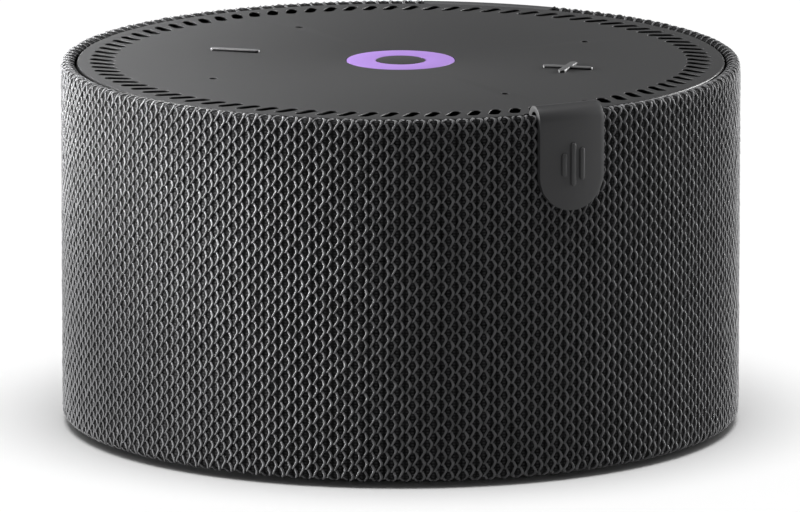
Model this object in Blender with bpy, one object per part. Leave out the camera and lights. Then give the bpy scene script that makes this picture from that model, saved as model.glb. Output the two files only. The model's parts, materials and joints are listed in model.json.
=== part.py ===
"""A round table-top smart speaker: every solid piece, in metres, +Z up.

The origin is the middle of the underside. The front is -Y and the sockets are at +Y.
Pieces that turn about the Z axis are lathed outlines of (radius, height) points.
"""

import math

import bmesh
import bpy
from mathutils import Matrix, Vector

MM = 0.001
GAP = 0.3 * MM

# Whole object
OUTER_RADIUS = 49.0 * MM
FABRIC_CREST = 53.0 * MM
FABRIC_THICKNESS = 0.8 * MM
TOP_ROLL = 1.0 * MM
BOTTOM_ROLL = 2.0 * MM
BOTTOM_ROLL_HEIGHT = 1.0 * MM

# Touch plate
PLATE_TOP = 52.8 * MM
PLATE_THICKNESS = 2.0 * MM
PLATE_RADIUS = 46.8 * MM
SLOT_COUNT = 90
SLOT_RING_RADIUS = 43.1 * MM
SLOT_LENGTH = 4.0 * MM
SLOT_WIDTH = 1.6 * MM
SLOT_LEAN = math.radians(27.0)
MARK_DISTANCE = 25.0 * MM
MARK_LENGTH = 7.4 * MM
MARK_WIDTH = 1.1 * MM
MARK_HEIGHT = 0.4 * MM
MICROPHONE_DISTANCE = 30.7 * MM
MICROPHONE_HOLE_RADIUS = 0.6 * MM
LIGHT_RING_RADIUS = 7.8 * MM
LIGHT_RING_HOLE_RADIUS = 3.7 * MM
LIGHT_GUIDE_RADIUS = 9.2 * MM
LIGHT_GUIDE_TOP = 50.5 * MM
LED_DISTANCE = 5.75 * MM
LED_SIZE = 2.0 * MM
LED_HEIGHT = 0.8 * MM

# Wall and base
SHELL_OUTER_RADIUS = 47.9 * MM
SHELL_INNER_RADIUS = 46.2 * MM
SHELL_BOTTOM = 3.3 * MM
SHELL_TOP = 50.5 * MM
BASE_BOTTOM = 0.3 * MM
BASE_TOP = 3.0 * MM
BASE_SCREW_DISTANCE = 43.5 * MM
WINDOW_COUNT = 24
WINDOW_WIDTH = 6.6 * MM
WINDOW_BOTTOM = 36.0 * MM
WINDOW_TOP = 45.0 * MM
ARM_WIDTH = 5.0 * MM
TRAY_FLOOR = 43.8 * MM

# Rear panel, with the sockets and the button
PANEL_HALF_ANGLE = math.radians(12.0)
FABRIC_HALF_GAP = math.radians(12.5)
SOCKET_HEIGHT = 13.0 * MM
SOCKET_HOLE_RADIUS = 3.3 * MM
POWER_SOCKET_X = -5.1 * MM
AUDIO_SOCKET_X = 5.1 * MM
JACK_FRONT = 46.4 * MM
BUTTON_HEIGHT = 28.0 * MM
BUTTON_RADIUS = 3.0 * MM
BUTTON_FACE = 48.9 * MM
INSIDE_WALL = 40.0 * MM
OUTSIDE_WALL = 52.0 * MM

# Rim tab
TAB_ANGLE = math.radians(-45.0)
TAB_WIDTH = 10.4 * MM
TAB_THICKNESS = 0.85 * MM
TAB_TIP_HEIGHT = 39.2 * MM

# Top assembly under the plate
TRAY_RADIUS = 40.1 * MM
BOARD_RADIUS = 38.5 * MM
BOARD_THICKNESS = 1.2 * MM
TOUCH_BOARD_BOTTOM = 47.0 * MM
MAIN_BOARD_BOTTOM = 6.0 * MM
MAIN_BOARD_RADIUS = 40.0 * MM
LED_COUNT = 6

# Loudspeaker
FLANGE_BOTTOM = 35.6 * MM
DRIVER_SCREW_DISTANCE = 29.0 * MM
BOX_RADIUS = 38.5 * MM

# How finely round pieces are turned
WALL_STEPS = 40
MIDDLE_STEPS = 24
SMALL_STEPS = 20
TINY_STEPS = 10

CORNERS = [math.radians(angle) for angle in (45, 135, 225, 315)]
UP = Vector((0, 0, 1))
REARWARD = Matrix.Rotation(math.radians(-90), 4, "X")

FINISHES = {
    "net_fabric": ((0.035, 0.035, 0.037), 0.90, 0.0),
    "plate_plastic": ((0.045, 0.045, 0.047), 0.50, 0.0),
    "shell_plastic": ((0.020, 0.020, 0.021), 0.60, 0.0),
    "tab_rubber": ((0.040, 0.040, 0.042), 0.55, 0.0),
    "foot_rubber": ((0.015, 0.015, 0.016), 0.80, 0.0),
    "lit_diffuser": ((0.520, 0.300, 0.950), 0.40, 0.0),
    "white_diffuser": ((0.800, 0.800, 0.780), 0.50, 0.0),
    "circuit_board": ((0.010, 0.060, 0.025), 0.45, 0.0),
    "chip_black": ((0.012, 0.012, 0.013), 0.50, 0.0),
    "led_white": ((0.850, 0.830, 0.700), 0.35, 0.0),
    "microphone_can": ((0.620, 0.600, 0.560), 0.35, 1.0),
    "steel": ((0.500, 0.500, 0.510), 0.35, 1.0),
    "ferrite": ((0.030, 0.030, 0.032), 0.60, 0.0),
    "coil_copper": ((0.720, 0.350, 0.180), 0.35, 1.0),
    "cone_paper": ((0.030, 0.030, 0.032), 0.85, 0.0),
    "spider_cloth": ((0.550, 0.400, 0.150), 0.90, 0.0),
    "button_plastic": ((0.060, 0.060, 0.062), 0.45, 0.0),
    "heat_silicone": ((0.450, 0.480, 0.550), 0.75, 0.0),
    "ribbon_film": ((0.700, 0.700, 0.680), 0.40, 0.0),
    "lead_sleeve": ((0.030, 0.030, 0.030), 0.60, 0.0),
}


def material(finish: str) -> bpy.types.Material:
    """The Principled material of a finish, made on its first use."""
    found = bpy.data.materials.get(finish)
    if found:
        return found
    colour, roughness, metallic = FINISHES[finish]
    made = bpy.data.materials.new(finish)
    made.use_nodes = True
    shader = made.node_tree.nodes["Principled BSDF"]
    shader.inputs["Base Color"].default_value = (*colour, 1.0)
    shader.inputs["Roughness"].default_value = roughness
    shader.inputs["Metallic"].default_value = metallic
    made.diffuse_color = (*colour, 1.0)
    return made


def add_object(name, shape, finish=None):
    """Links a bmesh to the scene as an object, smooth but for its sharp edges."""
    bmesh.ops.remove_doubles(shape, verts=shape.verts, dist=0.001 * MM)
    bmesh.ops.recalc_face_normals(shape, faces=shape.faces)
    mesh = bpy.data.meshes.new(name)
    shape.to_mesh(mesh)
    shape.free()
    mesh.shade_smooth()
    mesh.set_sharp_from_angle(angle=math.radians(35))
    made = bpy.data.objects.new(name, mesh)
    bpy.context.scene.collection.objects.link(made)
    if finish:
        mesh.materials.append(material(finish))
    return made


def add_copy(source, name, location, turn=0.0):
    """A second object of the same mesh, placed and turned about Z."""
    made = bpy.data.objects.new(name, source.data)
    bpy.context.scene.collection.objects.link(made)
    made.location = location
    made.rotation_euler.z = turn
    return made


def lathe(outline, steps=MIDDLE_STEPS, first=0.0, sweep=math.tau):
    """Spins a closed outline of (radius, height) points about the Z axis.

    A full turn closes on itself. A part turn keeps the outline's face at both ends.
    """
    shape = bmesh.new()
    start = [Vector((r * math.cos(first), r * math.sin(first), z)) for r, z in outline]
    verts = [shape.verts.new(point) for point in start]
    face = shape.faces.new(verts)
    whole_turn = sweep == math.tau
    geometry = list(face.edges) + verts + ([] if whole_turn else [face])
    if whole_turn:
        shape.faces.remove(face)
    bmesh.ops.spin(
        shape,
        geom=geometry,
        cent=(0, 0, 0),
        axis=UP,
        angle=sweep,
        steps=steps,
        use_merge=whole_turn,
    )
    return shape


def drum(radius, bottom, top, segments=SMALL_STEPS, place=(0, 0)):
    """A plain upright cylinder between two heights."""
    shape = bmesh.new()
    middle = Matrix.Translation((*place, (bottom + top) / 2))
    bmesh.ops.create_cone(
        shape,
        cap_ends=True,
        segments=segments,
        radius1=radius,
        radius2=radius,
        depth=top - bottom,
        matrix=middle,
    )
    return shape


def block(low, high, bevel=0.0):
    """A box between two corners, with its edges bevelled where asked."""
    shape = bmesh.new()
    low, high = Vector(low), Vector(high)
    size = Matrix.Diagonal((*(high - low), 1.0))
    bmesh.ops.create_cube(shape, size=1.0, matrix=Matrix.Translation((low + high) / 2) @ size)
    if bevel:
        bmesh.ops.bevel(shape, geom=shape.edges, offset=bevel, segments=1, affect="EDGES")
    return shape


def slab(outline, bottom, top):
    """A flat outline of (x, y) points extruded between two heights."""
    shape = bmesh.new()
    face = shape.faces.new([shape.verts.new((x, y, bottom)) for x, y in outline])
    raised = bmesh.ops.extrude_face_region(shape, geom=[face])
    moved = [item for item in raised["geom"] if isinstance(item, bmesh.types.BMVert)]
    bmesh.ops.translate(shape, verts=moved, vec=(0, 0, top - bottom))
    return shape


def arc(centre, radius, first, last, count):
    """Points along an arc, from one angle in degrees to another."""
    x, y = centre
    angles = [math.radians(first + (last - first) * i / count) for i in range(count + 1)]
    return [(x + radius * math.cos(a), y + radius * math.sin(a)) for a in angles]


def capsule(length, width, centre=(0, 0), turn=0.0, steps=3):
    """The outline of a round-ended bar, turned about its own middle."""
    reach = (length - width) / 2
    points = arc((reach, 0), width / 2, -90, 90, steps) + arc((-reach, 0), width / 2, 90, 270, steps)
    spin = Matrix.Rotation(turn, 2)
    return [tuple(spin @ Vector(point) + Vector(centre)) for point in points]


def merge(shapes):
    """Several separate shapes in one bmesh, for a cutter with many bodies."""
    joined = bmesh.new()
    for shape in shapes:
        mesh = bpy.data.meshes.new("scratch")
        shape.to_mesh(mesh)
        shape.free()
        joined.from_mesh(mesh)
        bpy.data.meshes.remove(mesh)
    return joined


def combine(target, shape, operation):
    """Adds a Boolean modifier whose operand stays out of the render."""
    helper = add_object(f"{target.name}_{operation.lower()}_{len(target.modifiers)}", shape)
    helper.hide_render = True
    helper.display_type = "WIRE"
    modifier = target.modifiers.new(helper.name, "BOOLEAN")
    modifier.operation = operation
    modifier.solver = "EXACT"
    modifier.object = helper


def rearward(shape, x, height):
    """Turns a shape made along +Z to point along +Y, at a place on the rear."""
    bmesh.ops.transform(shape, verts=shape.verts, matrix=Matrix.Translation((x, 0, height)) @ REARWARD)
    return shape


def polar(radius, angle, height=0.0):
    """A point at a radius and an angle about the Z axis."""
    return Vector((radius * math.cos(angle), radius * math.sin(angle), height))


# Cover, panel and tab


def wall_outline():
    """The cross-section that the fabric and the rear panel share, rolled over at both edges."""
    top = (OUTER_RADIUS - TOP_ROLL, FABRIC_CREST - TOP_ROLL)
    bottom = (OUTER_RADIUS - BOTTOM_ROLL, BOTTOM_ROLL_HEIGHT + BOTTOM_ROLL)
    outside = arc(bottom, BOTTOM_ROLL, -95, 0, 3) + arc(top, TOP_ROLL, 0, 180, 4)
    inner_top = arc(top, TOP_ROLL - FABRIC_THICKNESS, 180, 0, 2)
    inner_bottom = arc(bottom, BOTTOM_ROLL - FABRIC_THICKNESS, 0, -95, 2)
    return outside + inner_top + inner_bottom


def make_cover():
    """The fabric sleeve, open at the back, and the panel that fills its gap."""
    rear = math.radians(90)
    sweep = math.tau - 2 * FABRIC_HALF_GAP
    add_object("fabric_sleeve", lathe(wall_outline(), WALL_STEPS, rear + FABRIC_HALF_GAP, sweep), "net_fabric")
    panel_shape = lathe(wall_outline(), 8, rear - PANEL_HALF_ANGLE, 2 * PANEL_HALF_ANGLE)
    panel = add_object("rear_panel", panel_shape, "shell_plastic")
    holes = [
        rearward(drum(SOCKET_HOLE_RADIUS, INSIDE_WALL, OUTSIDE_WALL), POWER_SOCKET_X, SOCKET_HEIGHT),
        rearward(drum(SOCKET_HOLE_RADIUS, INSIDE_WALL, OUTSIDE_WALL), AUDIO_SOCKET_X, SOCKET_HEIGHT),
        rearward(drum(BUTTON_RADIUS + GAP, INSIDE_WALL, OUTSIDE_WALL), 0, BUTTON_HEIGHT),
    ]
    combine(panel, merge(holes), "DIFFERENCE")


def make_tab():
    """The rubber tab: a strip that rolls over the rim, cut to a round lower end."""
    crest_radius, crest_height = 48.05 * MM, 51.9 * MM
    half_span, rise = 1.25 * MM, 1.5 * MM
    lip, hem = 51.2 * MM, TAB_TIP_HEIGHT - 1 * MM

    def roll(offset, turn, count=8):
        points = []
        for i in range(count + 1):
            angle = math.pi * (i / count if turn > 0 else 1 - i / count)
            along = (half_span + offset) * math.cos(angle)
            points.append((crest_radius + along, crest_height + (rise + offset) * math.sin(angle)))
        return points

    outer = roll(TAB_THICKNESS, 1)
    inner = roll(0, -1)
    outline = [(outer[0][0], hem)] + outer + [(outer[-1][0], lip), (inner[0][0], lip)] + inner
    outline.append((inner[-1][0], hem))
    half_angle = math.radians(8)
    tab = add_object("rim_tab", lathe(outline, 8, TAB_ANGLE - half_angle, 2 * half_angle), "tab_rubber")
    half = TAB_WIDTH / 2
    face = arc((0, TAB_TIP_HEIGHT + half), half, 180, 360, 12) + [(half, 60 * MM), (-half, 60 * MM)]
    trim = slab(face, 40 * MM, 56 * MM)
    outward = Matrix.Rotation(TAB_ANGLE, 4, "Z") @ Matrix.Rotation(math.radians(90), 4, "Z")
    bmesh.ops.transform(trim, verts=trim.verts, matrix=outward @ Matrix.Rotation(math.radians(90), 4, "X"))
    combine(tab, trim, "INTERSECT")


# Touch plate and what is under it


def make_plate():
    """The touch plate: slots, microphone holes, light opening, tab notch and raised marks."""
    bottom = PLATE_TOP - PLATE_THICKNESS
    chamfer = 0.3 * MM
    opening = LIGHT_RING_RADIUS + 0.12 * MM
    outline = [
        (opening, bottom),
        (PLATE_RADIUS, bottom),
        (PLATE_RADIUS, PLATE_TOP - chamfer),
        (PLATE_RADIUS - chamfer, PLATE_TOP),
        (SLOT_RING_RADIUS - SLOT_LENGTH / 2 - 1 * MM, PLATE_TOP),
        (opening, PLATE_TOP),
    ]
    half_pitch = math.pi / SLOT_COUNT
    plate = add_object("top_plate", lathe(outline, SLOT_COUNT, half_pitch), "plate_plastic")
    low, high = bottom - 1 * MM, PLATE_TOP + 1 * MM
    cuts = []
    for i in range(SLOT_COUNT):
        angle = math.tau * i / SLOT_COUNT
        centre = polar(SLOT_RING_RADIUS, angle).xy
        cuts.append(slab(capsule(SLOT_LENGTH, SLOT_WIDTH, centre, angle - SLOT_LEAN, 2), low, high))
    for corner in CORNERS:
        place = polar(MICROPHONE_DISTANCE, corner).xy
        cuts.append(drum(MICROPHONE_HOLE_RADIUS, low, high, TINY_STEPS, place))
    notch = block((45.65 * MM, -5.7 * MM, low), (49 * MM, 5.7 * MM, high))
    bmesh.ops.rotate(notch, verts=notch.verts, cent=(0, 0, 0), matrix=Matrix.Rotation(TAB_ANGLE, 3, "Z"))
    cuts.append(notch)
    combine(plate, merge(cuts), "DIFFERENCE")
    sunk, proud = PLATE_TOP - 0.3 * MM, PLATE_TOP + MARK_HEIGHT
    minus = slab(capsule(MARK_LENGTH, MARK_WIDTH, (-MARK_DISTANCE, 0)), sunk, proud)
    plus = slab(plus_outline((MARK_DISTANCE, 0)), sunk, proud)
    combine(plate, merge([minus, plus]), "UNION")


def plus_outline(centre):
    """The outline of a plus with round ends, counter-clockwise."""
    half = MARK_WIDTH / 2
    reach = MARK_LENGTH / 2 - half
    arm = arc((reach, 0), half, -90, 90, 3) + [(half, half)]
    points = []
    for quarter in range(4):
        spin = Matrix.Rotation(quarter * math.radians(90), 2)
        points += [tuple(spin @ Vector(point) + Vector(centre)) for point in arm]
    return points


def make_light():
    """The glowing ring in the plate, its middle cap, the diffuser and the LEDs."""
    bottom = PLATE_TOP - PLATE_THICKNESS
    ring = [
        (LIGHT_RING_HOLE_RADIUS, bottom),
        (LIGHT_RING_RADIUS, bottom),
        (LIGHT_RING_RADIUS, PLATE_TOP),
        (LIGHT_RING_HOLE_RADIUS, PLATE_TOP),
    ]
    add_object("light_ring", lathe(ring), "lit_diffuser")
    cap = LIGHT_RING_HOLE_RADIUS - 0.12 * MM
    peg = 1.6 * MM
    core = [(0, 49.0 * MM), (peg, 49.0 * MM), (peg, bottom), (cap, bottom), (cap, PLATE_TOP), (0, PLATE_TOP)]
    add_object("ring_core", lathe(core, SMALL_STEPS), "plate_plastic")
    board_top = TOUCH_BOARD_BOTTOM + BOARD_THICKNESS
    guide_low, guide_lid = board_top + GAP, LIGHT_GUIDE_TOP - 0.5 * MM
    guide_inner, guide_hole = LIGHT_GUIDE_RADIUS - 0.8 * MM, 2.0 * MM
    guide = [
        (LIGHT_GUIDE_RADIUS, guide_low),
        (LIGHT_GUIDE_RADIUS, LIGHT_GUIDE_TOP),
        (guide_hole, LIGHT_GUIDE_TOP),
        (guide_hole, guide_lid),
        (guide_inner, guide_lid),
        (guide_inner, guide_low),
    ]
    add_object("light_guide", lathe(guide, SMALL_STEPS), "white_diffuser")
    half = LED_SIZE / 2
    first = None
    for i in range(LED_COUNT):
        angle = math.tau * i / LED_COUNT
        place = polar(LED_DISTANCE, angle, board_top + GAP)
        if first is None:
            first = add_object("led_1", block((-half, -half, 0), (half, half, LED_HEIGHT)), "led_white")
            first.location = place
        else:
            add_copy(first, f"led_{i + 1}", place, angle)


def make_touch_board():
    """The board with the touch pads, the microphones under it and their seals above it."""
    top = TOUCH_BOARD_BOTTOM + BOARD_THICKNESS
    board = add_object("touch_board", drum(BOARD_RADIUS, TOUCH_BOARD_BOTTOM, top, WALL_STEPS), "circuit_board")
    ports = []
    for corner in CORNERS:
        place = polar(MICROPHONE_DISTANCE, corner).xy
        ports.append(drum(0.5 * MM, 40 * MM, 50 * MM, TINY_STEPS, place))
    combine(board, merge(ports), "DIFFERENCE")
    seal = [
        (0.9 * MM, top + GAP),
        (2.6 * MM, top + GAP),
        (2.2 * MM, PLATE_TOP - PLATE_THICKNESS - GAP),
        (0.9 * MM, PLATE_TOP - PLATE_THICKNESS - GAP),
    ]
    can = block((-1.75 * MM, -1.33 * MM, -1.3 * MM), (1.75 * MM, 1.33 * MM, -GAP), 0.15 * MM)
    seals = add_object("mic_seal_1", lathe(seal, TINY_STEPS), "foot_rubber")
    cans = add_object("microphone_1", can, "microphone_can")
    for number, corner in enumerate(CORNERS, start=1):
        place = polar(MICROPHONE_DISTANCE, corner)
        below = place + TOUCH_BOARD_BOTTOM * UP
        if number == 1:
            seals.location, cans.location = place, below
            cans.rotation_euler.z = corner
        else:
            add_copy(seals, f"mic_seal_{number}", place)
            add_copy(cans, f"microphone_{number}", below, corner)


def make_tray():
    """The tray that carries the touch board, with four arms and a cone that turns sound outwards."""
    floor_top = TRAY_FLOOR + 1.4 * MM
    half_arm = ARM_WIDTH / 2
    outline = [
        (0, 40.3 * MM),
        (5 * MM, 41.0 * MM),
        (11 * MM, 42.4 * MM),
        (18 * MM, TRAY_FLOOR),
        (TRAY_RADIUS, TRAY_FLOOR),
        (TRAY_RADIUS, 50.4 * MM),
        (BOARD_RADIUS + GAP, 50.4 * MM),
        (BOARD_RADIUS + GAP, TOUCH_BOARD_BOTTOM - GAP),
        (BOARD_RADIUS - 2 * MM, TOUCH_BOARD_BOTTOM - GAP),
        (BOARD_RADIUS - 2 * MM, floor_top),
        (0, floor_top),
    ]
    tray = add_object("top_tray", lathe(outline, WALL_STEPS), "shell_plastic")
    reach = SHELL_INNER_RADIUS - GAP
    arms = []
    for corner in CORNERS:
        arm = block((TRAY_RADIUS - 2 * MM, -half_arm, TRAY_FLOOR), (reach - 0.1 * MM, half_arm, floor_top))
        bmesh.ops.rotate(arm, verts=arm.verts, cent=(0, 0, 0), matrix=Matrix.Rotation(corner, 3, "Z"))
        arms.append(arm)
    combine(tray, merge(arms), "UNION")
    cable_way = block((-42 * MM, -6 * MM, 46.0 * MM), (-36 * MM, 6 * MM, 52 * MM))
    combine(tray, cable_way, "DIFFERENCE")


# Frame and base


def make_shell():
    """The frame under the fabric: sound windows, port openings, screw bosses and ledges."""
    outline = [
        (SHELL_INNER_RADIUS, SHELL_BOTTOM),
        (SHELL_OUTER_RADIUS, SHELL_BOTTOM),
        (SHELL_OUTER_RADIUS, SHELL_TOP),
        (45.3 * MM, SHELL_TOP),
        (45.3 * MM, 49.2 * MM),
        (SHELL_INNER_RADIUS, 48.4 * MM),
    ]
    shell = add_object("body_shell", lathe(outline, WALL_STEPS), "shell_plastic")
    inner, outer = 44 * MM, 50 * MM
    windows = []
    half_width = WINDOW_WIDTH / 2
    pitch = 360 / WINDOW_COUNT
    for i in range(WINDOW_COUNT):
        degrees = pitch * (i + 0.5)
        if abs(degrees - 90) < 10:
            continue
        window = block((inner, -half_width, WINDOW_BOTTOM), (outer, half_width, WINDOW_TOP))
        turn = Matrix.Rotation(math.radians(degrees), 3, "Z")
        bmesh.ops.rotate(window, verts=window.verts, cent=(0, 0, 0), matrix=turn)
        windows.append(window)
    jack_window = block((-9.9 * MM, INSIDE_WALL, 7.2 * MM), (8.6 * MM, outer, 18.4 * MM))
    button_window = rearward(drum(4.4 * MM, INSIDE_WALL, outer), 0, BUTTON_HEIGHT)
    combine(shell, merge(windows + [jack_window, button_window]), "DIFFERENCE")
    ledge_top = TRAY_FLOOR - GAP
    half_arm = ARM_WIDTH / 2
    extras = []
    for corner in CORNERS:
        ledge = block((43.5 * MM, -half_arm, 41.0 * MM), (47 * MM, half_arm, ledge_top))
        bmesh.ops.rotate(ledge, verts=ledge.verts, cent=(0, 0, 0), matrix=Matrix.Rotation(corner, 3, "Z"))
        extras.append(ledge)
        place = polar(BASE_SCREW_DISTANCE, corner).xy
        extras.append(drum(2.9 * MM, SHELL_BOTTOM, 14 * MM, TINY_STEPS, place))
    combine(shell, merge(extras), "UNION")
    pilots = []
    for corner in CORNERS:
        place = polar(BASE_SCREW_DISTANCE, corner).xy
        pilots.append(drum(1.4 * MM, SHELL_BOTTOM - 1 * MM, 12.5 * MM, TINY_STEPS, place))
    combine(shell, merge(pilots), "DIFFERENCE")


def make_base():
    """The base cover with its foot groove, board posts and screw seats, and the foot ring."""
    groove_inner, groove_outer, groove_top = 37.7 * MM, 45.3 * MM, 0.95 * MM
    rim_top = BOTTOM_ROLL_HEIGHT - GAP
    outline = [
        (0, BASE_BOTTOM),
        (groove_inner, BASE_BOTTOM),
        (groove_inner, groove_top),
        (groove_outer, groove_top),
        (groove_outer, BASE_BOTTOM),
        (47.1 * MM, BASE_BOTTOM),
        (47.3 * MM, BASE_BOTTOM + 0.15 * MM),
        (47.3 * MM, rim_top),
        (45.9 * MM, rim_top),
        (45.9 * MM, BASE_TOP),
        (0, BASE_TOP),
    ]
    base = add_object("base_cover", lathe(outline, WALL_STEPS), "shell_plastic")
    board_rest = MAIN_BOARD_BOTTOM - GAP
    posts = []
    for corner in CORNERS:
        posts.append(drum(2.5 * MM, 2 * MM, board_rest, TINY_STEPS, polar(30 * MM, corner).xy))
    combine(base, merge(posts), "UNION")
    seats, ways = [], []
    for corner in CORNERS:
        place = polar(BASE_SCREW_DISTANCE, corner).xy
        seats.append(drum(1.9 * MM, 0.5 * MM, 2.1 * MM, TINY_STEPS, place))
        ways.append(drum(1.3 * MM, 0, 4 * MM, TINY_STEPS, place))
    combine(base, merge(seats), "DIFFERENCE")
    combine(base, merge(ways), "DIFFERENCE")
    foot = [
        (38.0 * MM, groove_top - GAP),
        (38.0 * MM, 0.2 * MM),
        (38.2 * MM, 0),
        (44.8 * MM, 0),
        (45.0 * MM, 0.2 * MM),
        (45.0 * MM, groove_top - GAP),
    ]
    add_object("foot_ring", lathe(foot, WALL_STEPS), "foot_rubber")


def screw_outline(head_radius, head_height, shank_radius, length):
    """Half of a flat-headed screw, its head's underside at height 0 and its tip downwards."""
    return [
        (0, head_height),
        (head_radius, head_height),
        (head_radius, 0),
        (shank_radius, 0),
        (shank_radius, shank_radius - length),
        (0, -length),
    ]


def make_screws():
    """Four screws up through the base cover, and four down through the loudspeaker flange."""
    long_screw = lathe(screw_outline(1.7 * MM, 0.8 * MM, 1.0 * MM, 9 * MM), TINY_STEPS)
    short_screw = lathe(screw_outline(1.35 * MM, 0.9 * MM, 0.8 * MM, 3.4 * MM), TINY_STEPS)
    base = add_object("base_screw_1", long_screw, "steel")
    driver = add_object("driver_screw_1", short_screw, "steel")
    flange_top = FLANGE_BOTTOM + 1.5 * MM
    for number, corner in enumerate(CORNERS, start=1):
        base_place = polar(BASE_SCREW_DISTANCE, corner, 1.8 * MM)
        driver_place = polar(DRIVER_SCREW_DISTANCE, corner, flange_top + GAP)
        if number == 1:
            base.location, driver.location = base_place, driver_place
            base.rotation_euler.x = math.pi
            continue
        add_copy(base, f"base_screw_{number}", base_place).rotation_euler.x = math.pi
        add_copy(driver, f"driver_screw_{number}", driver_place)


# Loudspeaker and its sealed box


def driver_screw_holes():
    """The four clearance holes through the baffle and the loudspeaker flange."""
    places = [polar(DRIVER_SCREW_DISTANCE, corner).xy for corner in CORNERS]
    return [drum(1.1 * MM, 32 * MM, 40 * MM, TINY_STEPS, place) for place in places]


def make_speaker_box():
    """The stepped cup behind the loudspeaker, and the baffle that closes it."""
    narrow, floor, step, rim, wall = 31.5 * MM, 10.3 * MM, 19.5 * MM, 33.0 * MM, 2.0 * MM
    outline = [
        (0, floor),
        (narrow, floor),
        (narrow, step),
        (BOX_RADIUS, step),
        (BOX_RADIUS, rim),
        (BOX_RADIUS - wall, rim),
        (BOX_RADIUS - wall, step + wall),
        (narrow - wall, step + wall),
        (narrow - wall, floor + wall),
        (0, floor + wall),
    ]
    box = add_object("speaker_box", lathe(outline), "shell_plastic")
    lead_hole = drum(1.2 * MM, step - 1 * MM, step + wall + 1 * MM, TINY_STEPS, (0, -34.5 * MM))
    combine(box, lead_hole, "DIFFERENCE")
    lid = [
        (24.5 * MM, rim + GAP),
        (BOX_RADIUS, rim + GAP),
        (BOX_RADIUS, FLANGE_BOTTOM - GAP),
        (24.5 * MM, FLANGE_BOTTOM - GAP),
    ]
    baffle = add_object("baffle", lathe(lid), "shell_plastic")
    combine(baffle, merge(driver_screw_holes()), "DIFFERENCE")


def make_driver_motor():
    """The fixed loudspeaker parts: basket, gasket, magnet, yoke and top washer."""
    flange_top = FLANGE_BOTTOM + 1.5 * MM
    basket_outline = [
        (10.5 * MM, 25.0 * MM),
        (16.4 * MM, 25.0 * MM),
        (23.6 * MM, FLANGE_BOTTOM),
        (30.8 * MM, FLANGE_BOTTOM),
        (30.8 * MM, flange_top),
        (23.0 * MM, flange_top),
        (17.2 * MM, 27.6 * MM),
        (15.2 * MM, 26.2 * MM),
        (10.5 * MM, 26.2 * MM),
    ]
    basket = add_object("driver_basket", lathe(basket_outline), "steel")
    combine(basket, merge(driver_screw_holes()), "DIFFERENCE")
    vents = []
    for quarter in range(4):
        vent = block((14 * MM, -5 * MM, 28.6 * MM), (26 * MM, 5 * MM, 33.6 * MM))
        turn = Matrix.Rotation(quarter * math.radians(90), 3, "Z")
        bmesh.ops.rotate(vent, verts=vent.verts, cent=(0, 0, 0), matrix=turn)
        vents.append(vent)
    combine(basket, merge(vents), "DIFFERENCE")

    def ring(name, inner, outer, bottom, top, finish, steps=MIDDLE_STEPS):
        outline = [(inner, bottom), (outer, bottom), (outer, top), (inner, top)]
        add_object(name, lathe([(r * MM, z * MM) for r, z in outline], steps), finish)

    ring("driver_gasket", 25.0, 27.4, 38.1, 39.0, "foot_rubber")
    ring("driver_washer", 7.7, 15.5, 21.9, 24.7, "steel")
    ring("driver_magnet", 9.5, 16.5, 16.6, 21.6, "ferrite")
    pole, plate = 5.9 * MM, 15.5 * MM
    low, middle, high = 13.3 * MM, 16.3 * MM, 24.7 * MM
    yoke = [(0, low), (plate, low), (plate, middle), (pole, middle), (pole, high), (0, high)]
    add_object("driver_yoke", lathe(yoke, SMALL_STEPS), "steel")


def make_driver_cone():
    """The moving loudspeaker parts and the two flexing ones, about the cone's own axis."""
    axis = bpy.data.objects.new("cone_travel_axis", None)
    bpy.context.scene.collection.objects.link(axis)
    moving = []

    def turned(name, points, finish, steps=SMALL_STEPS):
        made = add_object(name, lathe([(r * MM, z * MM) for r, z in points], steps), finish)
        moving.append(made)

    turned("driver_voice_coil", [(6.4, 18.9), (7.1, 18.9), (7.1, 31.0), (6.4, 31.0)], "coil_copper")
    turned("driver_cone", [(7.4, 30.7), (20.0, 36.5), (20.0, 37.1), (7.4, 31.3)], "cone_paper")
    dome_rise, dome_radius, dome_base = 2.0, 8.4, 32.4
    above = [(dome_radius * math.sin(a), dome_base + dome_rise * math.cos(a)) for a in quarter_turn(3)]
    below = [(r * 0.94, z - 0.4) for r, z in reversed(above)]
    turned("driver_dust_cap", above + below, "cone_paper")
    crown = arc((22.6, 37.6), 2.0, 165, 15, 4)
    hollow = arc((22.6, 37.4), 1.6, 15, 165, 4)
    surround = [(19.0, 37.4), (19.0, 37.8)] + crown + [(27.2, 37.8), (27.2, 37.4)] + hollow
    turned("driver_surround", surround, "foot_rubber", MIDDLE_STEPS)
    waves = [(7.4 + 1.69 * i, 28.0 + 0.4 * (i % 2)) for i in range(6)]
    spider = waves + [(r, z + 0.5) for r, z in reversed(waves)]
    turned("driver_spider", spider, "spider_cloth")
    for made in moving:
        made.parent = axis


def quarter_turn(count):
    """Angles from 0 to a quarter turn."""
    return [math.pi / 2 * i / count for i in range(count + 1)]


# Electronics and sockets


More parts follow.
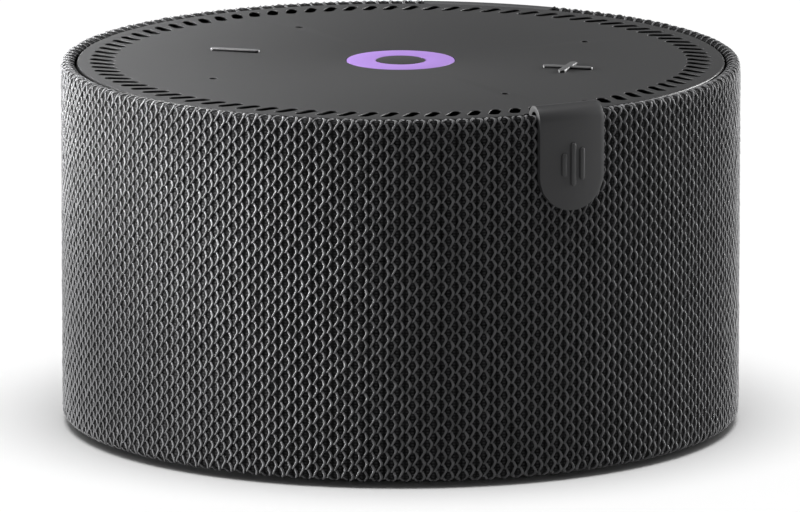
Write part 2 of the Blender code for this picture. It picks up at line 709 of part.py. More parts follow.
def make_main_board():
    """The main board with a tongue under the sockets, its screening can and heat pad."""
    half, tongue = 10.0 * MM, 44.4 * MM
    edge = math.degrees(math.acos(half / MAIN_BOARD_RADIUS))
    outline = arc((0, 0), MAIN_BOARD_RADIUS, 180 - edge, 360 + edge, 40)
    outline += [(half, tongue), (-half, tongue)]
    top = MAIN_BOARD_BOTTOM + BOARD_THICKNESS
    add_object("main_board", slab(outline, MAIN_BOARD_BOTTOM, top), "circuit_board")
    can_low, can_top = top + GAP, top + 2.0 * MM
    add_object("shield_can", block((-11 * MM, -9 * MM, can_low), (11 * MM, 9 * MM, can_top), 0.3 * MM), "steel")
    pad_low = can_top + GAP
    pad = block((-8 * MM, -7 * MM, pad_low), (8 * MM, 7 * MM, pad_low + 0.5 * MM))
    add_object("heat_pad", pad, "heat_silicone")
    plug = block((-3 * MM, -38 * MM, can_low), (3 * MM, -34 * MM, can_low + 3.5 * MM), 0.2 * MM)
    add_object("lead_connector", plug, "white_diffuser")


def make_jacks():
    """The power inlet with its centre pin, and the audio socket."""
    rest = MAIN_BOARD_BOTTOM + BOARD_THICKNESS + GAP
    back = JACK_FRONT - 13.5 * MM
    power_body = block(
        (POWER_SOCKET_X - 4.5 * MM, back, rest), (POWER_SOCKET_X + 4.5 * MM, JACK_FRONT, 18.0 * MM), 0.3 * MM
    )
    power = add_object("dc_jack", power_body, "chip_black")
    floor, mouth = JACK_FRONT - 9.5 * MM, JACK_FRONT + 1 * MM
    bore, pin, pin_end = 3.1 * MM, 1.0 * MM, JACK_FRONT - 1 * MM
    bore_outline = [(0, mouth), (0, pin_end), (pin, pin_end), (pin, floor), (bore, floor), (bore, mouth)]
    combine(power, rearward(lathe(bore_outline, SMALL_STEPS), POWER_SOCKET_X, SOCKET_HEIGHT), "DIFFERENCE")
    audio_body = block(
        (AUDIO_SOCKET_X - 3.2 * MM, back, rest), (AUDIO_SOCKET_X + 3.2 * MM, JACK_FRONT, 16.5 * MM), 0.3 * MM
    )
    audio = add_object("audio_jack", audio_body, "chip_black")
    hole = drum(1.8 * MM, JACK_FRONT - 12 * MM, mouth)
    combine(audio, rearward(hole, AUDIO_SOCKET_X, SOCKET_HEIGHT), "DIFFERENCE")


def make_mute_button():
    """The push button on its own axis, the switch plunger behind it, and the fixed switch."""
    axis = bpy.data.objects.new("mute_press_axis", None)
    bpy.context.scene.collection.objects.link(axis)
    axis.location = (0, BUTTON_FACE, BUTTON_HEIGHT)
    axis.rotation_euler.x = math.radians(-90)
    flange_front, flange_back, stem_end = -1.2 * MM, -2.0 * MM, -3.3 * MM
    stem = 1.2 * MM
    dish, chamfer = 0.25 * MM, 0.2 * MM
    button_outline = [
        (0, stem_end),
        (stem, stem_end),
        (stem, flange_back),
        (3.9 * MM, flange_back),
        (3.9 * MM, flange_front),
        (BUTTON_RADIUS, flange_front),
        (BUTTON_RADIUS, -chamfer),
        (BUTTON_RADIUS - chamfer, 0),
        (2.2 * MM, -0.05 * MM),
        (0, -dish),
    ]
    button = add_object("mute_button", lathe(button_outline, SMALL_STEPS), "button_plastic")
    plunger_front, plunger_back = stem_end - GAP, stem_end - 1.9 * MM
    plunger = add_object("switch_plunger", drum(0.85 * MM, plunger_back, plunger_front, TINY_STEPS), "chip_black")
    for piece in (button, plunger):
        piece.parent = axis
    switch_front, switch_back = 44.6 * MM, 41.5 * MM
    half = 3.0 * MM
    body = block(
        (-half, switch_back, BUTTON_HEIGHT - half), (half, switch_front, BUTTON_HEIGHT + half), 0.2 * MM
    )
    switch = add_object("mute_switch", body, "chip_black")
    bore = drum(1.15 * MM, 42.8 * MM, 50 * MM, TINY_STEPS)
    combine(switch, rearward(bore, 0, BUTTON_HEIGHT), "DIFFERENCE")
    half, back, front = 6.0 * MM, 40.0 * MM, switch_back - GAP
    board = block((-half, back, BUTTON_HEIGHT - half), (half, front, BUTTON_HEIGHT + half))
    add_object("switch_board", board, "circuit_board")


def make_wiring():
    """The flat cable between the boards, the loudspeaker lead and the antenna strip."""
    side, fold = -43.0 * MM, 1.5 * MM
    low, high = 7.8 * MM, 48.8 * MM
    path = [(-35 * MM, low)] + arc((side + fold, low + fold), fold, -90, -180, 4)
    path += arc((side + fold, high - fold), fold, 180, 90, 4) + [(-34.5 * MM, high)]
    strip = bmesh.new()
    half = 5.0 * MM
    verts = [strip.verts.new((x, -half, z)) for x, z in path]
    edges = [strip.edges.new(pair) for pair in zip(verts, verts[1:])]
    swept = bmesh.ops.extrude_edge_only(strip, edges=edges)
    moved = [item for item in swept["geom"] if isinstance(item, bmesh.types.BMVert)]
    bmesh.ops.translate(strip, verts=moved, vec=(0, 2 * half, 0))
    cable = add_object("ribbon_cable", strip, "ribbon_film")
    thickness = cable.modifiers.new("film", "SOLIDIFY")
    thickness.thickness = 0.25 * MM
    thickness.offset = 0.0

    curve = bpy.data.curves.new("speaker_lead", "CURVE")
    curve.dimensions = "3D"
    curve.bevel_depth = 0.7 * MM
    curve.bevel_resolution = 1
    curve.use_fill_caps = True
    route = [(-36.0, 11.4), (-36.0, 14.0), (-35.2, 17.0), (-34.6, 19.5), (-34.5, 22.0), (-32.8, 25.0)]
    route += [(-29.5, 27.4), (-26.0, 28.6), (-22.6, 29.2)]
    spline = curve.splines.new("POLY")
    spline.points.add(len(route) - 1)
    for point, (y, z) in zip(spline.points, route):
        point.co = (0, y * MM, z * MM, 1)
    lead = bpy.data.objects.new("speaker_lead", curve)
    bpy.context.scene.collection.objects.link(lead)
    curve.materials.append(material("lead_sleeve"))

    film = [(45.3, 20.0), (45.7, 20.0), (45.7, 31.0), (45.3, 31.0)]
    film = [(r * MM, z * MM) for r, z in film]
    strip_shape = lathe(film, 8, math.radians(195), math.radians(36))
    add_object("antenna", strip_shape, "ribbon_film")


def main():
    """Clears the scene and makes every piece."""
    for obj in list(bpy.data.objects):
        bpy.data.objects.remove(obj, do_unlink=True)
    bpy.context.scene.unit_settings.system = "METRIC"
    make_cover()
    make_tab()
    make_plate()
    make_light()
    make_touch_board()
    make_tray()
    make_shell()
    make_base()
    make_screws()
    make_speaker_box()
    make_driver_motor()
    make_driver_cone()
    make_main_board()
    make_jacks()
    make_mute_button()
    make_wiring()


main()
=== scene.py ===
"""A round table-top smart home hub, modelled and dressed round its fixed CAD frame.

The origin is the middle of the underside, +Z is up, the front is -Y and the sockets are at +Y.
Heights and radii are in metres. Each sub-assembly is a class that builds its pieces and dresses them.
"""

from __future__ import annotations

import json
import logging
import math
from collections.abc import Callable, Iterable
from dataclasses import dataclass
from enum import Enum
from itertools import groupby

import bmesh
import bpy
from mathutils import Matrix, Vector


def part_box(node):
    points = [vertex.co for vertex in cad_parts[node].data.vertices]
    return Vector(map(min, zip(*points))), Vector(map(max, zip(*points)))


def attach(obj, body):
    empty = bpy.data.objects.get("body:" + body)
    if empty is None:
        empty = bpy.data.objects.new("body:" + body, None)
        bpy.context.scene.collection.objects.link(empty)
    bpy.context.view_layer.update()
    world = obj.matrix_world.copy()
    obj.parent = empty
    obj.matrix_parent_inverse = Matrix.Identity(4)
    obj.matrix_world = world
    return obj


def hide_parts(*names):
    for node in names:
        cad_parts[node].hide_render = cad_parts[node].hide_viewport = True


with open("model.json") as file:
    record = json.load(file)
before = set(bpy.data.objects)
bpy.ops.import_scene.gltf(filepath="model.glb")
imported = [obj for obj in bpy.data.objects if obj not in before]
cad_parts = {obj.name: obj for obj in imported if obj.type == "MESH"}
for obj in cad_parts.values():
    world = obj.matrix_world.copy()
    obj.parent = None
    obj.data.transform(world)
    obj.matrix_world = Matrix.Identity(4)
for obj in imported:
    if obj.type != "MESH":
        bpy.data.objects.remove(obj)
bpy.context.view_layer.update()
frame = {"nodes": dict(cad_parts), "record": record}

LOG = logging.getLogger("hub")
MM = 0.001
PLATE_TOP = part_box("light_ring")[1].z
Point = tuple[float, float]
Colour = tuple[float, float, float]
Piece = bpy.types.Object
Socket = bpy.types.NodeSocket
Pattern = tuple[Socket, Socket]


class Body(Enum):
    """The CAD bodies that pieces ride on."""

    HOUSING = "housing"
    CONE = "cone"
    MUTE_KEY = "mute_key"


# Bench tools: picking, shaping and placing with operators


def put_down() -> None:
    """Leaves edit mode and deselects every object."""
    if bpy.context.object and bpy.context.object.mode != "OBJECT":
        bpy.ops.object.mode_set(mode="OBJECT")
    bpy.ops.object.select_all(action="DESELECT")


def pick_up(*pieces: Piece) -> None:
    """Selects these pieces and no others, with the first one active.

    Args:
        pieces: The pieces that the next operators work on.
    """
    put_down()
    for piece in pieces:
        piece.select_set(True)
    bpy.context.view_layer.objects.active = pieces[0]


def settle(piece: Piece) -> Piece:
    """Puts the piece's place, turn and size into its mesh.

    Args:
        piece: A piece whose object may be moved, turned or scaled.

    Returns:
        The same piece, with its object at the origin.
    """
    pick_up(piece)
    bpy.ops.object.transform_apply(location=True, rotation=True, scale=True)
    return piece


def choose(piece: Piece, kind: str, test: Callable[[Vector], bool]) -> None:
    """Selects, in edit mode, the parts of a mesh whose middle passes a test.

    Args:
        piece: The piece that is open in edit mode.
        kind: VERT, EDGE or FACE.
        test: Takes the middle of a vertex, an edge or a face.
    """
    bpy.ops.mesh.select_mode(type=kind)
    bpy.ops.mesh.select_all(action="DESELECT")
    shape = bmesh.from_edit_mesh(piece.data)
    items = {"VERT": shape.verts, "EDGE": shape.edges, "FACE": shape.faces}[kind]
    for item in items:
        if kind == "VERT":
            middle = item.co
        elif kind == "EDGE":
            middle = (item.verts[0].co + item.verts[1].co) / 2
        else:
            middle = item.calc_center_median()
        if test(middle):
            item.select_set(True)
    bmesh.update_edit_mesh(piece.data)


def tidy_mesh(piece: Piece) -> Piece:
    """Merges doubled points and turns every face outwards.

    Args:
        piece: A closed mesh.

    Returns:
        The same piece.
    """
    pick_up(piece)
    bpy.ops.object.mode_set(mode="EDIT")
    bpy.ops.mesh.select_all(action="SELECT")
    bpy.ops.mesh.remove_doubles(threshold=0.0005 * MM)
    bpy.ops.mesh.normals_make_consistent(inside=False)
    bpy.ops.object.mode_set(mode="OBJECT")
    return piece


def work(piece: Piece, kind: str, **settings: object) -> Piece:
    """Adds a modifier and applies it.

    Args:
        piece: The piece to change.
        kind: The modifier's type.
        settings: The modifier's values.

    Returns:
        The same piece.
    """
    pick_up(piece)
    modifier = piece.modifiers.new(kind.lower(), kind)
    for name, value in settings.items():
        setattr(modifier, name, value)
    bpy.ops.object.modifier_apply(modifier=modifier.name)
    return piece


def soften_edges(piece: Piece, width: float, segments: int, degrees: float) -> Piece:
    """Rounds the edges that are sharper than an angle.

    Args:
        piece: The piece to change.
        width: How wide the rounding is.
        segments: How many faces it takes.
        degrees: The angle above which an edge is rounded.

    Returns:
        The same piece.
    """
    limit = math.radians(degrees)
    return work(piece, "BEVEL", width=width, segments=segments, limit_method="ANGLE", angle_limit=limit)


def cut(piece: Piece, tools: list[Piece], operation: str = "DIFFERENCE") -> Piece:
    """Joins the tools into one, uses it on the piece, and throws it away.

    Args:
        piece: The piece to cut or to add to.
        tools: Closed meshes that don't touch each other.
        operation: DIFFERENCE, UNION or INTERSECT.

    Returns:
        The same piece.
    """
    pick_up(*tools)
    if len(tools) > 1:
        bpy.ops.object.join()
    tool = bpy.context.object
    work(piece, "BOOLEAN", operation=operation, object=tool, solver="EXACT")
    bpy.data.objects.remove(tool, do_unlink=True)
    return piece


def smooth(piece: Piece, degrees: float = 32.0) -> Piece:
    """Shades a piece smooth, but for its edges over an angle.

    Args:
        piece: The piece to shade.
        degrees: The angle that stays sharp.

    Returns:
        The same piece.
    """
    pick_up(piece)
    bpy.ops.object.shade_smooth_by_angle(angle=math.radians(degrees))
    return piece


def arc(centre: Point, radius: float, first: float, last: float, count: int) -> list[Point]:
    """Points along an arc.

    Args:
        centre: The middle of the arc.
        radius: Its radius.
        first: The first angle, in degrees.
        last: The last angle, in degrees.
        count: How many steps to take.

    Returns:
        One more point than there are steps.
    """
    angles = [math.radians(first + (last - first) * i / count) for i in range(count + 1)]
    return [(centre[0] + radius * math.cos(a), centre[1] + radius * math.sin(a)) for a in angles]


def softened(corners: Iterable[tuple[float, float, float]], steps: int = 3) -> list[Point]:
    """Rounds the corners of an outline.

    Args:
        corners: The radius, height and corner radius of each corner, in millimetres.
        steps: How many steps each round corner takes.

    Returns:
        The outline's points, in metres.
    """
    corners = list(corners)
    points: list[Point] = []
    for i, (r, z, fillet) in enumerate(corners):
        here = Vector((r, z))
        if not fillet:
            points.append(tuple(here * MM))
            continue
        before = (Vector(corners[i - 1][:2]) - here).normalized()
        after = (Vector(corners[(i + 1) % len(corners)][:2]) - here).normalized()
        half = before.angle(after) / 2
        centre = here + (before + after).normalized() * fillet / math.sin(half)
        start = here + before * fillet / math.tan(half) - centre
        end = here + after * fillet / math.tan(half) - centre
        turn = start.angle_signed(end)
        for step in range(steps + 1):
            bent = Matrix.Rotation(-turn * step / steps, 2) @ start
            points.append(tuple((centre + bent) * MM))
    return points


def turned(
    name: str, outline: list[Point], steps: int, first: float = 0.0, sweep: float = math.tau
) -> Piece:
    """Draws an outline point by point and spins it about the Z axis.

    Args:
        name: The new piece's name.
        outline: Points of radius and height, in metres. The last joins the first.
        steps: How many steps the spin takes.
        first: The angle at which the outline stands.
        sweep: How far it turns. A part turn gets its two ends filled.

    Returns:
        The finished, closed piece.
    """
    put_down()
    bpy.ops.mesh.primitive_plane_add(size=MM, location=(outline[0][0], 0, outline[0][1]))
    piece = bpy.context.object
    piece.name = name
    settle(piece)
    bpy.ops.object.mode_set(mode="EDIT")
    bpy.ops.mesh.select_mode(type="VERT")
    bpy.ops.mesh.select_all(action="SELECT")
    bpy.ops.mesh.merge(type="CENTER")
    for (r, z), (next_r, next_z) in zip(outline, outline[1:]):
        move = {"value": (next_r - r, 0, next_z - z)}
        bpy.ops.mesh.extrude_region_move(TRANSFORM_OT_translate=move)
    shape = bmesh.from_edit_mesh(piece.data)
    ends = [vert for vert in shape.verts if len(vert.link_edges) == 1]
    if not all(r < MM / 100 for r in (outline[0][0], outline[-1][0])):
        bpy.ops.mesh.select_all(action="DESELECT")
        for vert in ends:
            vert.select_set(True)
        bmesh.update_edit_mesh(piece.data)
        bpy.ops.mesh.edge_face_add()
    bpy.ops.mesh.select_all(action="SELECT")
    bpy.ops.mesh.spin(steps=steps, angle=sweep, center=(0, 0, 0), axis=(0, 0, 1), use_auto_merge=False)
    bpy.ops.mesh.select_all(action="SELECT")
    bpy.ops.mesh.remove_doubles(threshold=0.0005 * MM)
    if sweep < math.tau:
        bpy.ops.mesh.fill_holes(sides=0)
    bpy.ops.mesh.normals_make_consistent(inside=False)
    bpy.ops.object.mode_set(mode="OBJECT")
    middle = sum((vert.co for vert in piece.data.vertices), Vector()) / len(piece.data.vertices)
    found = math.atan2(middle.y, middle.x)
    if sweep < math.tau:
        piece.rotation_euler.z = first + sweep / 2 - found
    return settle(piece)


def bar(name: str, length: float, width: float, levels: list[Point], sides: int = 20) -> Piece:
    """A round-ended bar along X, built up level by level.

    Args:
        name: The new piece's name.
        length: The bar's whole length.
        width: Its width, which may be the length for a round pin.
        levels: The height of each level and how far its outline stands outside the bar's.
        sides: How many points go round it, a multiple of four.

    Returns:
        The closed bar.
    """
    put_down()
    half_step = math.pi / sides
    start = width / 2 + levels[0][1]
    bpy.ops.mesh.primitive_circle_add(
        vertices=sides,
        radius=start,
        fill_type="NGON",
        location=(0, 0, levels[0][0]),
        rotation=(0, 0, half_step),
    )
    piece = bpy.context.object
    piece.name = name
    settle(piece)
    bpy.ops.object.mode_set(mode="EDIT")
    reach = (length - width) / 2
    if reach > 0:
        choose(piece, "VERT", lambda at: at.x > 0)
        bpy.ops.transform.translate(value=(reach, 0, 0))
        choose(piece, "VERT", lambda at: at.x < 0)
        bpy.ops.transform.translate(value=(-reach, 0, 0))
    bpy.ops.mesh.select_mode(type="FACE")
    bpy.ops.mesh.select_all(action="SELECT")
    for (low, grown), (high, grows) in zip(levels, levels[1:]):
        bpy.ops.mesh.extrude_region_move(TRANSFORM_OT_translate={"value": (0, 0, high - low)})
        wider = (length / 2 + grows) / (length / 2 + grown)
        deeper = (width / 2 + grows) / (width / 2 + grown)
        bpy.ops.transform.resize(value=(wider, deeper, 1), center_override=(0, 0, 0))
    bpy.ops.object.mode_set(mode="OBJECT")
    return tidy_mesh(piece)


def ring_of(piece: Piece, count: int, sweep: float = math.tau) -> Piece:
    """Copies a piece about the Z axis, in its own mesh.

    Args:
        piece: The piece to repeat.
        count: How many there are in all.
        sweep: The angle that they share.

    Returns:
        The same piece, with its copies.
    """
    pick_up(piece)
    bpy.ops.object.mode_set(mode="EDIT")
    bpy.ops.mesh.select_all(action="SELECT")
    angle = sweep * (count - 1) / count
    bpy.ops.mesh.spin(steps=count - 1, dupli=True, angle=angle, center=(0, 0, 0), axis=(0, 0, -1))
    bpy.ops.object.mode_set(mode="OBJECT")
    return piece


def stand_out(piece: Piece, radius: float, bearing: float, height: float) -> Piece:
    """Turns a piece drawn along +Z so that it points straight out of the wall.

    Args:
        piece: A piece whose +Z becomes outwards and whose +X becomes upwards.
        radius: The distance of its origin from the Z axis.
        bearing: Its angle about the Z axis.
        height: Its height.

    Returns:
        The same piece, settled.
    """
    out = Vector((math.cos(bearing), math.sin(bearing), 0))
    up = Vector((0, 0, 1))
    turn = Matrix((up, out.cross(up), out)).transposed()
    piece.matrix_world = Matrix.Translation(out * radius + up * height) @ turn.to_4x4()
    return settle(piece)


# Finishes


class Effect(Enum):
    """The surface effects, each a node group built once."""

    GRAIN = "moulded_grain"
    # Grain with painted shade below a given height.
    COATED = "coated_top"
    YARN = "yarn_twist"
    KNIT = "knit_ribs"
    BRUSHED = "brushed_streaks"
    TRACES = "board_traces"
    WOUND = "wound_wire"


class Graph:
    """Adds nodes to one tree and links them."""

    def __init__(self, tree: bpy.types.NodeTree) -> None:
        """Takes the tree that the nodes go into."""
        self.tree = tree

    def add(
        self, kind: str, inputs: dict[str | int, object] | None = None, **settings: object
    ) -> bpy.types.Node:
        """Adds one node.

        Args:
            kind: The node's type, without its ShaderNode prefix.
            inputs: Values by socket name or number. A socket is linked, and anything else is set.
            settings: The node's own properties.

        Returns:
            The new node.
        """
        node = self.tree.nodes.new(f"ShaderNode{kind}")
        for name, value in settings.items():
            setattr(node, name, value)
        for key, value in (inputs or {}).items():
            if isinstance(value, Socket):
                self.tree.links.new(value, node.inputs[key])
            else:
                node.inputs[key].default_value = value
        return node

    def math(self, operation: str, *values: object) -> Socket:
        """The result of a Math node on two or three values."""
        return self.add("Math", dict(enumerate(values)), operation=operation).outputs[0]

    def stretched(self, place: object, scale: Colour) -> Socket:
        """The place, stretched along each axis."""
        return self.add("VectorMath", {0: place, 1: scale}, operation="MULTIPLY").outputs[0]

    def noise(self, place: object, scale: object, detail: float = 3.0) -> Socket:
        """A soft noise between 0 and 1."""
        inputs = {"Vector": place, "Scale": scale, "Detail": detail, "Roughness": 0.55}
        return self.add("TexNoise", inputs).outputs[0]

    def mix(self, share: object, low: object, high: object) -> Socket:
        """A colour between two others.

        Args:
            share: How much of the high colour there is.
            low: The colour at 0.
            high: The colour at 1.

        Returns:
            The mixed colour.
        """
        node = self.add("Mix", data_type="RGBA")
        for socket, value in ((node.inputs[0], share), (node.inputs[6], low), (node.inputs[7], high)):
            if isinstance(value, Socket):
                self.tree.links.new(value, socket)
            else:
                socket.default_value = value
        return node.outputs[2]


class EffectGroup:
    """Builds the node group of an effect, with the sockets that all effects share."""

    INPUTS = (
        ("Place", "NodeSocketVector"),
        ("Colour", "NodeSocketColor"),
        ("Scale", "NodeSocketFloat"),
        ("Depth", "NodeSocketFloat"),
        ("Roughness", "NodeSocketFloat"),
        ("Spread", "NodeSocketFloat"),
        ("Edge", "NodeSocketFloat"),
    )
    OUTPUTS = (
        ("Colour", "NodeSocketColor"),
        ("Roughness", "NodeSocketFloat"),
        ("Height", "NodeSocketFloat"),
    )
    # Painted shade: how far below the Edge height it fades in, and how much of the colour it takes
    # away.
    SHADE_FADE = 0.07 * MM
    PAINTED_SHADE_LOSS = 0.96

    def __init__(self, effect: Effect) -> None:
        """Makes the group's sockets and fills it.

        Args:
            effect: The effect that the group stands for.
        """
        self.tree = bpy.data.node_groups.new(effect.value, "ShaderNodeTree")
        for name, kind in self.INPUTS:
            self.tree.interface.new_socket(name=name, in_out="INPUT", socket_type=kind)
        for name, kind in self.OUTPUTS:
            self.tree.interface.new_socket(name=name, in_out="OUTPUT", socket_type=kind)
        self.graph = Graph(self.tree)
        self.given = self.tree.nodes.new("NodeGroupInput").outputs
        makers = {
            Effect.GRAIN: self.grain,
            Effect.COATED: self.coated,
            Effect.YARN: self.yarn,
            Effect.KNIT: self.knit,
            Effect.BRUSHED: self.brushed,
            Effect.TRACES: self.traces,
            Effect.WOUND: self.wound,
        }
        pattern, height = makers[effect]()
        self.close(pattern, height)

    @classmethod
    def of(cls, effect: Effect) -> bpy.types.NodeTree:
        """The group of an effect, built on its first use."""
        return bpy.data.node_groups.get(effect.value) or cls(effect).tree

    def close(self, pattern: Socket, height: Socket) -> None:
        """Turns a pattern between 0 and 1 into the three outputs.

        Args:
            pattern: What lightens and darkens the surface.
            height: What raises and lowers it.
        """
        graph, given = self.graph, self.given
        swing = graph.math("SUBTRACT", pattern, 0.5)
        shade = graph.math("MULTIPLY_ADD", swing, given["Depth"], 1.0)
        inputs = {0: given["Colour"], "Scale": shade}
        colour = graph.add("VectorMath", inputs, operation="SCALE").outputs[0]
        rough = graph.math("MULTIPLY_ADD", swing, given["Spread"], given["Roughness"])
        out = self.tree.nodes.new("NodeGroupOutput")
        for name, socket in (("Colour", colour), ("Roughness", rough), ("Height", height)):
            self.tree.links.new(socket, out.inputs[name])

    def grain(self) -> Pattern:
        """Fine spark-eroded grain over a broad, faint mottle.

        Returns:
            The pattern that shades the surface and the height that raises it.
        """
        graph, given = self.graph, self.given
        fine = graph.noise(given["Place"], given["Scale"], 2.0)
        broad = graph.noise(given["Place"], graph.math("MULTIPLY", given["Scale"], 0.03), 4.0)
        inputs = {"Vector": given["Place"], "Scale": given["Scale"]}
        pits = graph.add("TexVoronoi", inputs).outputs["Distance"]
        pattern = graph.math("MULTIPLY_ADD", fine, 0.45, graph.math("MULTIPLY", broad, 0.55))
        return pattern, graph.math("ADD", fine, graph.math("MULTIPLY", pits, 0.5))

    def coated(self) -> Pattern:
        """The plate's grain, with painted shade: wherever the surface lies below the Edge height, as on
        the walls of the slots and holes, the colour is painted almost black.

        Returns:
            The pattern that shades the surface and the height that raises it.
        """
        graph, given = self.graph, self.given
        pattern, height = self.grain()
        up = graph.add("SeparateXYZ", {0: given["Place"]}).outputs["Z"]
        low = graph.math("SUBTRACT", given["Edge"], self.SHADE_FADE)
        inputs = {"Value": up, "From Min": low, "From Max": given["Edge"]}
        top = graph.add("MapRange", inputs).outputs[0]
        # Painted shade: below the Edge height the colour drops almost to black.
        painted_shade = graph.math("DIVIDE", -self.PAINTED_SHADE_LOSS, given["Depth"])
        return graph.math("MULTIPLY_ADD", graph.math("SUBTRACT", 1.0, top), painted_shade, pattern), height

    def yarn(self) -> Pattern:
        """Fine filaments along the yarn, and patches that are looser and duller.

        Returns:
            The pattern that shades the surface and the height that raises it.
        """
        graph, given = self.graph, self.given
        along = graph.stretched(given["Place"], (1.0, 1.0, 0.35))
        fibre = graph.noise(along, given["Scale"], 2.0)
        patch = graph.noise(given["Place"], graph.math("MULTIPLY", given["Scale"], 0.14), 2.0)
        sharp = graph.add("MapRange", {"Value": patch, "From Min": 0.36, "From Max": 0.56}).outputs[0]
        pattern = graph.math("MULTIPLY_ADD", fibre, 0.4, graph.math("MULTIPLY", sharp, 0.6))
        return pattern, fibre

    def knit(self) -> Pattern:
        """Close ribs one way, crossed by finer loops the other way.

        Returns:
            The pattern that shades the surface and the height that raises it.
        """
        graph, given = self.graph, self.given
        waves = []
        for direction, share in (("X", 1.0), ("Y", 1.7)):
            scale = graph.math("MULTIPLY", given["Scale"], share)
            inputs = {"Vector": given["Place"], "Scale": scale, "Distortion": 0.6, "Detail": 1.0}
            waves.append(graph.add("TexWave", inputs, bands_direction=direction).outputs["Fac"])
        woven = graph.math("MULTIPLY", *waves)
        fuzz = graph.noise(given["Place"], graph.math("MULTIPLY", given["Scale"], 2.5), 2.0)
        return graph.math("MULTIPLY_ADD", fuzz, 0.5, graph.math("MULTIPLY", woven, 0.6)), woven

    def brushed(self) -> Pattern:
        """Long fine streaks, with a little cloudy plating.

        Returns:
            The pattern that shades the surface and the height that raises it.
        """
        graph, given = self.graph, self.given
        streaks = graph.noise(graph.stretched(given["Place"], (1.0, 0.05, 0.6)), given["Scale"], 3.0)
        cloud = graph.noise(given["Place"], graph.math("MULTIPLY", given["Scale"], 0.08), 3.0)
        return graph.math("MULTIPLY_ADD", streaks, 0.6, graph.math("MULTIPLY", cloud, 0.4)), streaks

    def traces(self) -> Pattern:
        """Copper runs under a lacquer, as raised square paths.

        Returns:
            The pattern that shades the surface and the height that raises it.
        """
        graph, given = self.graph, self.given
        inputs = {
            "Vector": given["Place"],
            "Scale": given["Scale"],
            "Mortar Size": 0.05,
            "Mortar Smooth": 0.3,
            "Brick Width": 1.7,
            "Row Height": 0.35,
        }
        runs = graph.add("TexBrick", inputs).outputs["Fac"]
        inputs = {"Vector": given["Place"], "Scale": graph.math("MULTIPLY", given["Scale"], 0.7)}
        cells = graph.add("TexVoronoi", inputs, distance="CHEBYCHEV").outputs["Distance"]
        pads = graph.math("LESS_THAN", cells, 0.16)
        lifted = graph.math("MAXIMUM", runs, pads)
        return graph.math("MULTIPLY_ADD", lifted, 0.8, 0.1), lifted

    def wound(self) -> Pattern:
        """Turns of wire, one above the other.

        Returns:
            The pattern that shades the surface and the height that raises it.
        """
        graph, given = self.graph, self.given
        inputs = {"Vector": given["Place"], "Scale": given["Scale"]}
        turns = graph.add("TexWave", inputs, bands_direction="Z").outputs["Fac"]
        return turns, turns


@dataclass(frozen=True)
class Finish:
    """A surface: its colour, and the effect that breaks it up."""

    slot: str
    colour: Colour
    roughness: float
    effect: Effect = Effect.GRAIN
    scale: float = 3600.0
    depth: float = 0.25
    spread: float = 0.12
    relief: float = 0.02 * MM
    metallic: float = 0.0
    specular: float = 0.5
    sheen: float = 0.0
    coat: float = 0.0
    glow: float = 0.0
    # edge: the height below which the painted-shade effect darkens the colour.
    edge: float = 0.0
    follows_map: bool = False
    name: str = ""

    def material(self) -> bpy.types.Material:
        """The finish's material, made on its first use.

        Returns:
            The material, with its effect group and its bump.
        """
        name = self.name or self.slot
        found = bpy.data.materials.get(f"{name}_finish")
        if found:
            return found
        made = bpy.data.materials.new(f"{name}_finish")
        made.use_nodes = True
        made.diffuse_color = (*self.colour, 1.0)
        graph = Graph(made.node_tree)
        shader = made.node_tree.nodes["Principled BSDF"]
        place = graph.add("TexCoord").outputs["UV" if self.follows_map else "Object"]
        group = graph.add("Group", node_tree=EffectGroup.of(self.effect))
        link = made.node_tree.links.new
        link(place, group.inputs["Place"])
        group.inputs["Colour"].default_value = (*self.colour, 1.0)
        for key in ("Scale", "Depth", "Roughness", "Spread", "Edge"):
            group.inputs[key].default_value = getattr(self, key.lower())
        raised = {"Height": group.outputs["Height"], "Distance": self.relief, "Strength": 0.8}
        bump = graph.add("Bump", raised)
        link(group.outputs["Colour"], shader.inputs["Base Color"])
        link(group.outputs["Roughness"], shader.inputs["Roughness"])
        link(bump.outputs[0], shader.inputs["Normal"])
        for key, value in (
            ("Metallic", self.metallic),
            ("Specular IOR Level", self.specular),
            ("Sheen Weight", self.sheen),
            ("Coat Weight", self.coat),
        ):
            shader.inputs[key].default_value = value
        if self.glow:
            link(group.outputs["Colour"], shader.inputs["Emission Color"])
            shader.inputs["Emission Strength"].default_value = self.glow
        return made

    def put_on(self, piece: Piece) -> Piece:
        """Gives a piece this finish.

        Args:
            piece: A new piece or a CAD node.

        Returns:
            The same piece.
        """
        piece.data.materials.clear()
        piece.data.materials.append(self.material())
        return piece


NET_YARN = Finish(
    "net_fabric", (0.049, 0.049, 0.051), 0.78, Effect.YARN, 5200, 1.0, 0.1, 0.03 * MM,
    specular=0.42, sheen=0.1, name="net_yarn",
)
NET_BACKING = Finish(
    "net_fabric", (0.0125, 0.0125, 0.0129), 0.95, Effect.KNIT, 430, 3.0, 0.05, 0.05 * MM,
    specular=0.1, follows_map=True, name="net_backing",
)
# Painted shade: the plate and the cap are painted almost black just under their top, on the walls of
# the slots, holes and notch and on most of the rounded rim.
PLATE = Finish(
    "plate_plastic", (0.025, 0.025, 0.0255), 0.6, Effect.COATED, 5200, 0.1, 0.02, 0.004 * MM,
    specular=0.12, edge=PLATE_TOP - 0.03 * MM,
)
